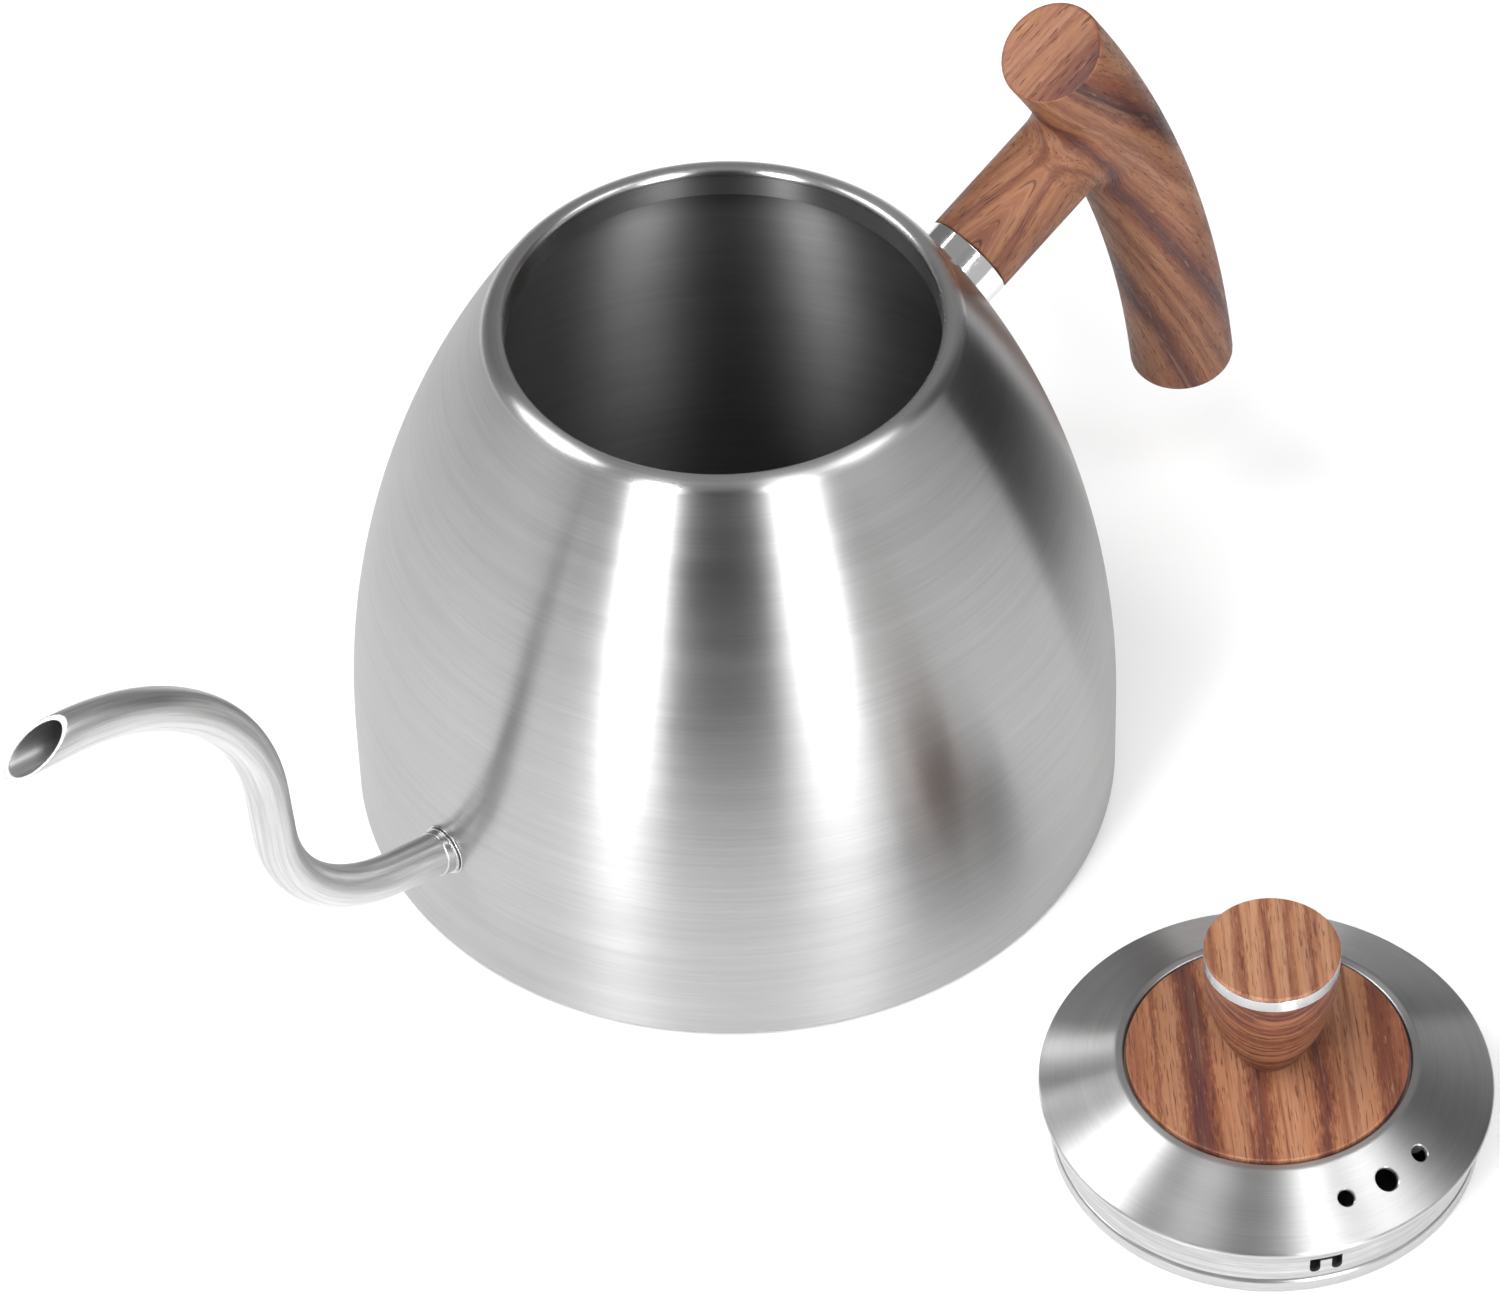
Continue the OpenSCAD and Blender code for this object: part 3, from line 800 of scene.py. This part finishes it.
def spout_tube(sides=64, rings_along=170):
    """The bent tube, with an outer and an inner skin and a softly rounded slanting cut."""
    inner_r, edge = TUBE_R - TUBE_T, 0.16
    last = TUBE_END - edge
    whole = last + ROOT_INSIDE
    places = [(-ROOT_INSIDE + whole * k / rings_along, TUBE_R) for k in range(rings_along + 1)]
    quarter = [radians(90 * k / 5) for k in range(6)]
    places += [(last + edge * sin(a), TUBE_R - edge * (1 - cos(a))) for a in quarter[1:]]
    places += [(last + edge * cos(a), inner_r + edge * (1 - sin(a))) for a in quarter]
    places += [(s, inner_r) for s, _ in places[rings_along - 1::-1]]
    verts, grain, faces, uvs = [], [], [], []
    for s, radius in places:
        lean = CUT_LEAN * max(0, 1 - (TUBE_END - s) / LEAN_LEN)
        for k in range(sides):
            t = 2 * pi * k / sides
            up, side = radius * cos(t), radius * sin(t)
            at, angle = spout_at(s - up * lean)
            q = step(at, angle + 90, up)
            verts.append((-q[0], side, q[1]))
            grain.append((s * MM, up * MM, side * MM))
    count = len(places)
    for i in range(count):
        j = (i + 1) % count
        for k in range(sides):
            m = (k + 1) % sides
            faces.append([i * sides + k, i * sides + m, j * sides + m, j * sides + k])
            square = ((k, i), (k + 1, i), (k + 1, i + 1), (k, i + 1))
            uvs += [(u / sides, v / count) for u, v in square]
    piece = make_object("spout_tube_visual", verts, faces, uvs, grain)
    with edited(piece.data) as made:
        bmesh.ops.recalc_face_normals(made, faces=made.faces)
    piece.data.set_sharp_from_angle(angle=radians(50))
    return piece


finish_piece(spout_tube(), "kettle", "brushed_spout", STEEL_SPOUT, "spout_tube")


# ------------ pieces square to the wall


def wall_distance(origin, direction, offset):
    """How far from origin + offset along direction the body's wall is met, in millimetres."""
    low, high = -14.0, 8.0
    for _ in range(40):
        mid = (low + high) / 2
        x, y, z = (origin[i] + offset[i] + direction[i] * mid for i in range(3))
        inside = hypot(x, y) < wall_radius(min(max(z, BELLY_Z), BODY_H))
        low, high = (mid, high) if inside else (low, mid)
    return low


def saddled(name, profile, origin, direction, foot, follow=0.0, segments=96):
    """A turned sleeve whose foot follows the body's wall. profile is a closed list of runs in
    (radius, distance along the axis). What lies at or below foot is moved into the wall, and what
    lies below follow keeps its height above the wall instead of above a flat plane."""
    piece = turned(name, profile, segments=segments)
    turn = Vector(direction).to_track_quat("Z", "Y").to_matrix()
    for vertex in piece.data.vertices:
        x, y, z = (c / MM for c in vertex.co)
        offset = turn @ Vector((x, y, 0))
        if z <= foot:
            z = wall_distance(origin, direction, offset) - 0.1 + (z - foot)
        elif z < follow:
            z += wall_distance(origin, direction, offset)
        vertex.co = (Vector(origin) + offset + Vector(direction) * z) * MM
    set_normals(piece, NORMALS[name] @ np.array(turn).T)
    return piece


# The collar is two thin pressed rings flat on the wall, and a short sleeve down to the tube
RING_R = TUBE_R + 0.95
collar_runs = rounded(
    [
        (TUBE_R + 0.02, -0.2, 0), (RING_R, -0.2, 0), (RING_R, 0.40, 0.16),
        (TUBE_R + 0.2, 0.42, 0.02), (TUBE_R + 0.2, 0.66, 0.02), (RING_R - 0.22, 0.66, 0.12),
        (RING_R - 0.22, 1.04, 0.16),
        (TUBE_R + 0.36, 1.06, 0.03), (TUBE_R + 0.26, 2.9, 0.18), (TUBE_R + 0.02, 3.0, 0),
    ],
    0.1, 4,
)
collar = saddled("spout_collar_visual", collar_runs, root, root_direction, -0.1, 1.1)
finish_piece(collar, "kettle", "brushed_spout", COLLAR_STEEL, "spout_collar")

neck_angle = wall_angle(NECK_Z)
neck_origin = (wall_radius(NECK_Z), 0.0, NECK_Z)
neck_direction = (cos(radians(neck_angle)), 0.0, sin(radians(neck_angle)))
ferrule_in = NECK_R - 1
ferrule_runs = rounded(
    [
        (ferrule_in, -0.2, 0), (NECK_R, -0.2, 0.03), (NECK_R, FERRULE_LEN, 0.3),
        (ferrule_in, FERRULE_LEN, 0),
    ],
    0.2, 4,
)
ferrule = saddled(
    "handle_ferrule_visual", ferrule_runs, neck_origin, neck_direction, -0.1, segments=128
)
finish_piece(ferrule, "kettle", "bright_trim", CHROME, "handle_ferrule")


# ------------ grip: a smooth implicit surface


def smooth_min(a, b, k):
    h = np.clip(0.5 + 0.5 * (b - a) / k, 0, 1)
    return b * (1 - h) + a * h - k * h * (1 - h)


def rounded_rod(across, along, radius, half_length, edge):
    """Signed distance to a rod with rounded end edges."""
    dq = across - (radius - edge)
    ds = np.abs(along) - (half_length - edge)
    outside = np.hypot(np.maximum(dq, 0), np.maximum(ds, 0))
    return np.minimum(np.maximum(dq, ds), 0) + outside - edge


def grip_coordinates(p):
    """(distance from the bar's line, distance along it from its middle, signed offset)."""
    x, z = p[:, 0] - GRIP_CENTRE[0], p[:, 2] - GRIP_CENTRE[1]
    rho = np.hypot(x, z)
    theta = np.degrees(np.arctan2(z, x))
    along = (theta - (GRIP_TOP + GRIP_LOW) / 2) * radians(1) * GRIP_ARC_R
    return np.hypot(rho - GRIP_ARC_R, p[:, 1]), along, rho - GRIP_ARC_R


def neck_coordinates(p):
    """(distance from the neck's line, distance along it from the wall, signed offset upward)."""
    q = p - np.array(neck_origin)
    d = np.array(neck_direction)
    up = np.array((-d[2], 0, d[0]))
    along, lift = q @ d, q @ up
    return np.hypot(lift, q[:, 1]), along, lift


def grip_field(p):
    """Signed distance to the one-piece grip: bowed rod and neck, blended in a small fillet."""
    across, along, _ = grip_coordinates(p)
    bar = rounded_rod(across, along, GRIP_R, HALF_BAR, 0.7)
    across, along, _ = neck_coordinates(p)
    start, end = FERRULE_LEN + FERRULE_GAP, NECK_LEN
    neck = rounded_rod(across, along - (start + end) / 2, NECK_R, (end - start) / 2, 0.3)
    return smooth_min(bar, neck, 3.2)


def field_gradient(p, h=0.01):
    steps = np.eye(3) * h
    return np.stack([(grip_field(p + e) - grip_field(p - e)) / (2 * h) for e in steps], 1)


def field_normals(p):
    g = field_gradient(p)
    return g / norm(g, axis=1)[:, None]


def settle(p, rounds):
    """Moves points onto the grip's surface, by Newton steps along the gradient."""
    for _ in range(rounds):
        g = field_gradient(p)
        p = p - grip_field(p)[:, None] * g / np.maximum((g * g).sum(1), 0.2)[:, None]
    return p


def rod_mesh(name, points, radius, sides=32):
    """A rough closed rod through the points, which all lie in the XZ plane."""
    mesh = bpy.data.meshes.new(name)
    with edited(mesh) as made:
        rings = []
        for i, p in enumerate(points):
            a, b = points[max(i - 1, 0)], points[min(i + 1, len(points) - 1)]
            d = Vector((b[0] - a[0], 0, b[1] - a[1])).normalized()
            up, side = Vector((-d.z, 0, d.x)), Vector((0, 1, 0))
            middle = Vector((p[0], 0, p[1]))
            turns = [2 * pi * k / sides for k in range(sides)]
            ring = [middle + up * radius * cos(t) + side * radius * sin(t) for t in turns]
            rings.append([made.verts.new(place * MM) for place in ring])
        for low, high in zip(rings, rings[1:]):
            for k in range(sides):
                j = (k + 1) % sides
                made.faces.new((low[k], low[j], high[j], high[k]))
        made.faces.new(rings[0][::-1])
        made.faces.new(rings[-1])
        bmesh.ops.recalc_face_normals(made, faces=made.faces)
    return mesh


def near(part, place, reach=0.016):
    """Whether a vertex, edge or face lies within reach of a place, in metres."""
    points = [part] if isinstance(part, bmesh.types.BMVert) else part.verts
    return all((v.co - place).length < reach for v in points)


def split_at_ends(mesh):
    """Cuts an edge loop just inside each of the bar's flat ends, where the end grain begins."""
    with edited(mesh) as made:
        for sign in (-1, 1):
            turn = sign * (HALF_BAR - END_EDGE) / GRIP_ARC_R
            theta = degrees(radians((GRIP_TOP + GRIP_LOW) / 2) + turn)
            x, z = step(GRIP_CENTRE, theta, GRIP_ARC_R)
            place, square = Vector((x, 0, z)) * MM, step((0, 0), theta + 90, 1)
            parts = [part for part in (*made.verts, *made.edges, *made.faces) if near(part, place)]
            bmesh.ops.bisect_plane(
                made, geom=parts, dist=1e-7, plane_co=place, plane_no=(square[0], 0, square[1])
            )


def build_grip(voxel=0.55, bow_points=24, rounds=12):
    """The one-piece grip: a rough voxel skin, evened out along the smooth surface."""
    angles = [GRIP_LOW + (GRIP_TOP - GRIP_LOW) * k / bow_points for k in range(bow_points + 1)]
    rough = rod_mesh("grip_rod", [step(GRIP_CENTRE, angle, GRIP_ARC_R) for angle in angles], GRIP_R)
    ends = [
        [neck_origin[i] + neck_direction[i] * length for i in (0, 2)]
        for length in (FERRULE_LEN + FERRULE_GAP, NECK_LEN)
    ]
    second = rod_mesh("neck_rod", ends, NECK_R)
    with edited(rough) as made:
        made.from_mesh(second)
    bpy.data.meshes.remove(second)
    piece = link("handle_grip_visual", rough)
    remesh = piece.modifiers.new("skin", "REMESH")
    remesh.mode = "VOXEL"
    remesh.voxel_size = voxel * MM
    apply_modifiers(piece)

    mesh = piece.data
    edges = read(mesh.edges, "vertices", 2, int)
    degree = np.bincount(edges.ravel(), minlength=len(mesh.vertices))[:, None]
    p = settle(read(mesh.vertices, "co", 3) / MM, 6)
    for _ in range(rounds):
        total = np.zeros_like(p)
        np.add.at(total, edges[:, 0], p[edges[:, 1]])
        np.add.at(total, edges[:, 1], p[edges[:, 0]])
        pull = total / degree - p
        normal = field_normals(p)
        pull -= (pull * normal).sum(1)[:, None] * normal
        p = settle(p + 0.5 * pull, 1)
    p = settle(p, 3)
    mesh.vertices.foreach_set("co", (p * MM).ravel())
    split_at_ends(mesh)
    p = settle(read(mesh.vertices, "co", 3) / MM, 3)
    mesh.vertices.foreach_set("co", (p * MM).ravel())
    mesh.update()
    mesh.shade_smooth()
    mesh.normals_split_custom_set_from_vertices([tuple(n) for n in field_normals(p)])
    write_grip_grain(mesh, p)
    return piece


# The middle lines of the neck's and the bar's grain lie on these sides: (upward, sideways) shares
NECK_FACE = (0.847, -0.531)
BAR_FACE = (0.906, -0.423)
# Streaks cross the bar at a slant: millimetres sideways for each along
BAR_SLANT = 0.24
# Where the neck's nested Vs meet the bar, along the neck
JOINT = 33.0


def smooth_step(value, low, high):
    t = np.clip((value - low) / (high - low), 0, 1)
    return t * t * (3 - 2 * t)


def write_grip_grain(mesh, p):
    """Grain that follows the grip's bow, meets the neck's nested Vs at the joint, and runs straight
    across the two flat ends. It is kept per face corner, so that the ends stay crisp."""
    corner = read(mesh.loops, "vertex_index", kind=int)
    sizes = read(mesh.polygons, "loop_total", kind=int)
    _, face_along, _ = grip_coordinates(read(mesh.polygons, "center", 3) / MM)
    end = np.repeat(np.abs(face_along) > HALF_BAR - END_EDGE, sizes)
    q = p[corner]
    _, bar_along, bar_off = grip_coordinates(q)
    neck_across, neck_along, neck_off = neck_coordinates(q)
    y = q[:, 1]
    bar_side = BAR_FACE[0] * bar_off + BAR_FACE[1] * y + BAR_SLANT * bar_along
    bar = np.stack([bar_along, bar_side, BAR_FACE[0] * y - BAR_FACE[1] * bar_off], 1)
    side = -NECK_FACE[1] * neck_off + NECK_FACE[0] * y
    depth = NECK_FACE[0] * neck_off + NECK_FACE[1] * y
    chevron = -6.2 - 0.85 * np.sqrt(side * side + 0.5) + 0.17 * (JOINT - neck_along)
    neck = np.stack([neck_along * 0.8, chevron, depth], 1)
    inward = smooth_step(neck_along, 40, 24) * smooth_step(neck_across, 15, 9.5)
    grain = bar + (neck - bar) * inward[:, None]
    cap = np.stack([bar_off + 60, y * 0.62 + 6.2 + bar_off * 0.06, np.full(len(q), 31.0)], 1)
    grain[end] = cap[end]
    write_grain(mesh, grain * MM, "CORNER")


finish_piece(build_grip(), "kettle", "wood_look", WOOD_GRIP, "handle_grip")


# ------------ lid


def lid_cover_runs():
    """The lid's sheet: rolled flange edge, cone, round shoulder, recess for the inlay."""
    recess_r = INLAY_R + 0.5
    recess_z = INLAY_TOP - 1.8
    shoulder_z = INLAY_TOP - 0.5
    edge_z = FLANGE_Z + 1.2
    t = LID_SHEET
    return rounded(
        [
            (2.2, recess_z - t, 0), (recess_r + t, recess_z - t, 0.4),
            (recess_r + t, shoulder_z - 1.2, 0.15), (SHOULDER_R, shoulder_z - 1.25, 0.15),
            (FLANGE_R - 1.5, edge_z - 0.5, 0.2), (FLANGE_R - 1.2, FLANGE_Z, 0.2),
            (FLANGE_R, FLANGE_Z, 0.3), (FLANGE_R, edge_z - 0.35, 0.8),
            (SHOULDER_R + 0.1, shoulder_z, 1.6), (recess_r, shoulder_z, 0.35),
            (recess_r, recess_z, 0.2), (2.2, recess_z, 0),
        ],
        0.3, 8,
    )


lid_cover = turned("lid_cover_visual", lid_cover_runs(), LID_AXIS, segments=256)
cone_foot_z, cone_top_r, cone_top_z = FLANGE_Z + 0.85, SHOULDER_R + 0.1, INLAY_TOP - 0.5
cone_rise = atan2(cone_top_z - cone_foot_z, FLANGE_R - cone_top_r)
vent_z = cone_foot_z + (FLANGE_R - VENT_RING_R) * tan(cone_rise)
VENT_RIM = 0.22
cutters = []
for turn, radius in VENTS:
    profile = [
        (0, -2), (radius, -2, 0), (radius, -VENT_RIM, 0), (radius + VENT_RIM + 0.5, 0.5, 0),
        (0, 0.5),
    ]
    cutter = turned("vent_cutter", rounded(profile, 0), segments=48)
    a = radians(turn)
    s, c = sin(cone_rise), cos(cone_rise)
    oriented(
        cutter, (*step(LID_AXIS, turn, VENT_RING_R), vent_z), (s * cos(a), s * sin(a), c)
    )
    cutters.append(cutter)
cut(lid_cover, *cutters)
profile_normals(lid_cover, lid_cover_runs(), LID_AXIS)
finish_piece(lid_cover, "lid", "brushed_lid", STEEL_LID, "lid_cover")


def from_lid_axis(p, direction):
    """Distances of points along a direction in degrees, and to its right, from the lid's axis."""
    a = radians(direction)
    x, y = p[:, 0] - LID_AXIS[0], p[:, 1] - LID_AXIS[1]
    return x * cos(a) + y * sin(a), x * sin(a) - y * cos(a)


def plank(direction):
    """Grain of a flat-sawn board that runs along a direction in degrees, for pieces on the lid."""
    return lambda p: np.stack([*from_lid_axis(p, direction), p[:, 2]], 1)


def knob_grain(p):
    """Nested bowls: the grain runs round the knob and sags in its middle, front and back."""
    front, side = from_lid_axis(p, 49)
    return np.stack([side, p[:, 2] - KNOB_BASE - 0.035 * side * side, front * 0.6], 1)


def lid_piece(node, slot, material, runs, base=0.0, segments=192, grain=None):
    """A turned piece of the lid for one CAD node. grain gives its grain at millimetre points."""
    piece = turned(node + "_visual", runs, LID_AXIS, base, segments)
    if grain:
        write_grain(piece.data, grain(read(piece.data.vertices, "co", 3) / MM) * MM)
    finish_piece(piece, "lid", slot, material, node)


def hoop(inner, outer, low, high, inner_round, outer_round):
    """The four corners of a ring's section."""
    return [
        (inner, low, inner_round), (outer, low, outer_round),
        (outer, high, outer_round), (inner, high, inner_round),
    ]


bead_runs = rounded(hoop(PLUG_R - 1.9, BEAD_R, 0, BEAD_H, 0.3, 0.9), 0.5, 8)
lid_piece("lid_bead", "brushed_lid", BEAD_STEEL, bead_runs, segments=256)

inlay_low = node_box("inlay_disc")[0][2]
inlay_runs = rounded(
    [
        (0, inlay_low), (INLAY_R, inlay_low, 0.15), (INLAY_R, INLAY_TOP, 0.3), (18, INLAY_TOP, 0),
        (9, INLAY_TOP, 0), (0, INLAY_TOP),
    ],
    0.2, 4,
)
lid_piece("inlay_disc", "wood_look", WOOD_INLAY, inlay_runs, grain=plank(51))

BAND_Z = KNOB_H - CAP_H - BAND_H
KNOB_BASE = node_box("knob_body")[0][2]


def knob_runs():
    """The egg-cup body of the knob."""
    side_r = KNOB_R - 0.1
    arc_z = BAND_Z - 1.2
    centre = (side_r - KNOB_ARC_R, arc_z)
    low_z = 1.6
    low = -degrees(asin((arc_z - low_z) / KNOB_ARC_R))
    low_r = centre[0] + KNOB_ARC_R * cos(radians(low))
    return [
        line((0, 0), (KNOB_FOOT_R - 0.9, 0)),
        smooth_foot(KNOB_FOOT_R - 0.9, low_r, low_z, low),
        arc(centre, KNOB_ARC_R, low, 0, 30),
        line((side_r, arc_z), (side_r, BAND_Z - 0.25)),
        arc((side_r - 0.25, BAND_Z - 0.25), 0.25, 0, 90, 4),
        line((side_r - 0.25, BAND_Z), (0, BAND_Z)),
    ]


def smooth_foot(r0, r1, z1, angle, steps=8):
    """A quarter-round foot from (r0, 0) up to (r1, z1), meeting the side's slope."""
    run = []
    n_end = np.array((cos(radians(angle)), sin(radians(angle))))
    t_end = np.array((-n_end[1], n_end[0]))
    p0, p3 = np.array((r0, 0.0)), np.array((r1, z1))
    reach = norm(p3 - p0) * 0.55
    p1, p2 = p0 + np.array((reach, 0)), p3 - t_end * reach * 0.6
    for k in range(steps + 1):
        t = k / steps
        p = (1 - t) ** 3 * p0 + 3 * (1 - t) ** 2 * t * p1 + 3 * (1 - t) * t * t * p2 + t**3 * p3
        d = 3 * (1 - t) ** 2 * (p1 - p0) + 6 * (1 - t) * t * (p2 - p1) + 3 * t * t * (p3 - p2)
        d /= norm(d)
        run.append((p[0], p[1], d[1], -d[0]))
    return run


lid_piece("knob_body", "wood_look", WOOD_KNOB, knob_runs(), KNOB_BASE, 160, knob_grain)

cap_low = BAND_Z + BAND_H
band_runs = rounded(hoop(KNOB_R - 1.4, KNOB_R, BAND_Z + 0.02, cap_low - 0.02, 0, 0.15), 0.2, 4)
lid_piece("knob_band", "bright_trim", BAND_METAL, band_runs, KNOB_BASE)

cap_high = cap_low + CAP_H
cap_runs = rounded(
    [
        (0, cap_low), (KNOB_R, cap_low, 0.1), (KNOB_R, cap_high, 0.35), (6, cap_high, 0),
        (0, cap_high),
    ],
    0.2, 5,
)
lid_piece("knob_cap", "wood_look", WOOD_CAP, cap_runs, KNOB_BASE, 160, plank(50))


# ------------ CAD nodes that stay

KEPT = {
    "base_pan": PAN_STEEL, "base_cap": PAN_STEEL, "heat_spreader": ALUMINIUM,
    "handle_bracket": STEEL_PLAIN, "handle_stud": STEEL_PLAIN, "handle_washer": STEEL_PLAIN,
    "handle_spacer": RUBBER, "handle_insert": BRASS,
    "lid_skirt": SKIRT_STEEL, "lid_inner_plate": SKIRT_STEEL, "inlay_gasket": RUBBER,
    "knob_screw": STEEL_PLAIN, "knob_washer": STEEL_PLAIN, "knob_insert": BRASS,
}

for node_name, material in KEPT.items():
    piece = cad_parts[node_name]
    piece.data.materials.clear()
    piece.data.materials.append(material)


# ------------ camera

ELEVATION = 45.72
AZIMUTH = radians(-41.0)
ROLL = radians(-1.79)
CAMERA_PLACE = Vector((-0.6406, -0.7417, 1.0349))
LENS, SENSOR = 172.6, 36


def from_camera(azimuth, elevation=0.0):
    """Direction from the object, counted from the camera's side: positive azimuth to its right."""
    a = AZIMUTH + radians(azimuth)
    e = radians(elevation)
    return Vector((sin(a) * cos(e), -cos(a) * cos(e), sin(e)))


forward = -from_camera(0, ELEVATION)
right = Vector((cos(AZIMUTH), sin(AZIMUTH), 0))
down = forward.cross(right)
image_x = right * cos(ROLL) - down * sin(ROLL)
image_up = -(right * sin(ROLL) + down * cos(ROLL))
camera_data = bpy.data.cameras.new("camera")
camera_data.lens = LENS
camera_data.sensor_width = SENSOR
camera_data.clip_start, camera_data.clip_end = 0.05, 50
camera = link("camera", camera_data)
turn = Matrix((image_x, image_up, -forward)).transposed().to_4x4()
camera.matrix_world = Matrix.Translation(CAMERA_PLACE) @ turn
bpy.context.scene.camera = camera

# ------------ floor, studio and lights

# The floor reaches this far each way, in metres
FAR = 12
floor_mesh = bpy.data.meshes.new("floor")
corners = [(-FAR, -FAR, 0), (FAR, -FAR, 0), (FAR, FAR, 0), (-FAR, FAR, 0)]
floor_mesh.from_pydata(corners, [], [(0, 1, 2, 3)])
floor = link("floor", floor_mesh)
floor_nodes = Nodes("floor_white")
# The floor's own glow fades where a piece covers it closely, so that it is dark under the lid
open_sky = floor_nodes.add("ShaderNodeAmbientOcclusion", {"Distance": 0.02}, samples=8)
open_sky = open_sky.outputs["AO"]
floor_nodes.set(
    Base_Color=grey(0.74), Roughness=0.9, Specular_IOR_Level=0.0,
    Emission_Color=grey(1.0), Emission_Strength=floor_nodes.remap(open_sky, 0.10, 0.45, 0.0, 0.28),
)
floor_mesh.materials.append(floor_nodes.made)

# What the lamps point at, above the middle of the base
LAMP_AIM = Vector((0, 0, 0.06))


def softbox(name, azimuth, elevation, distance, width, height, power):
    data = bpy.data.lights.new(name, "AREA")
    data.shape = "RECTANGLE"
    data.size, data.size_y = width, height
    data.energy = power
    lamp = link(name, data)
    direction = from_camera(azimuth, elevation)
    lamp.location = LAMP_AIM + direction * distance
    lamp.rotation_mode = "QUATERNION"
    lamp.rotation_quaternion = (-direction).to_track_quat("-Z", "Y")
    return lamp


flag_nodes = Nodes("flag_black")
flag_nodes.set(Base_Color=grey(0.015), Roughness=1.0, Specular_IOR_Level=0.0)


def flag(name, azimuth, width, distance, low, high):
    """A black card that only reflections see: it keeps the dark bands in the steel dark."""
    direction = from_camera(azimuth)
    side = Vector((-direction.y, direction.x, 0)) * width / 2
    foot = direction * distance
    lift, top = Vector((0, 0, low)), Vector((0, 0, high))
    corners = [foot - side + lift, foot + side + lift, foot + side + top, foot - side + top]
    mesh = bpy.data.meshes.new(name)
    mesh.from_pydata([tuple(c) for c in corners], [], [(0, 1, 2, 3)])
    card = link(name, mesh)
    mesh.materials.append(flag_nodes.made)
    card.visible_camera = card.visible_shadow = card.visible_diffuse = False


# Azimuth and elevation in degrees, distance, width and height in metres, and power in watts
softbox("strip_left", -31, 22, 1.6, 0.34, 1.5, 20.0)
softbox("strip_right", 27, 22, 1.6, 0.46, 1.5, 15.5)
softbox("over_left", -102, 52, 1.6, 0.75, 0.55, 8.2)
softbox("over_front", 46, 70, 1.6, 0.18, 0.45, 1.0)
softbox("over_right", 82, 58, 1.6, 0.60, 0.50, 3.2)
key = softbox("key", -40, 60, 2.2, 1.5, 1.5, 22.5)
key.visible_glossy = False
# Azimuth in degrees, then width, distance, lowest and highest place in metres
flag("flag_front", -3, 0.14, 0.27, 0.0, 0.32)
flag("flag_right", 112, 0.12, 0.20, 0.0, 0.11)

# The studio's walls: their brightness by azimuth from the camera's side
STUDIO = (
    (-180, 0.28), (-150, 0.20), (-126, 0.20), (-108, 0.34), (-92, 0.37), (-60, 0.40),
    (-44, 0.36), (-18, 0.115), (12, 0.115), (40, 0.56), (66, 0.56), (90, 0.46),
    (103, 0.08), (122, 0.08), (142, 0.30), (160, 0.30), (180, 0.28),
)
OVERHEAD, BACKDROP = 0.34, 0.66
studio = Nodes("studio", world=True)
bpy.context.scene.world = studio.made
direction = studio.add("ShaderNodeTexCoord").outputs["Generated"]
split = studio.add("ShaderNodeSeparateXYZ", {"Vector": direction})
front = from_camera(0)
azimuth = studio.maths("ARCTAN2", split.outputs["Y"], split.outputs["X"])
azimuth = studio.maths("SUBTRACT", azimuth, atan2(front.y, front.x))
azimuth = studio.maths("WRAP", azimuth, pi, -pi)
stops = [((angle + 180) / 360, grey(tone)) for angle, tone in STUDIO]
walls = studio.ramp(studio.remap(azimuth, -pi, pi), stops)
room = studio.mix(studio.remap(split.outputs["Z"], 0.72, 0.94), walls, grey(OVERHEAD))
# The steel reflects that room, and past the floor's edge the camera sees a plain pale backdrop
seen = studio.add("ShaderNodeLightPath").outputs["Is Camera Ray"]
studio.set(Color=studio.mix(seen, room, grey(BACKDROP)), Strength=1.0)
bpy.context.scene.view_settings.view_transform = "Standard"
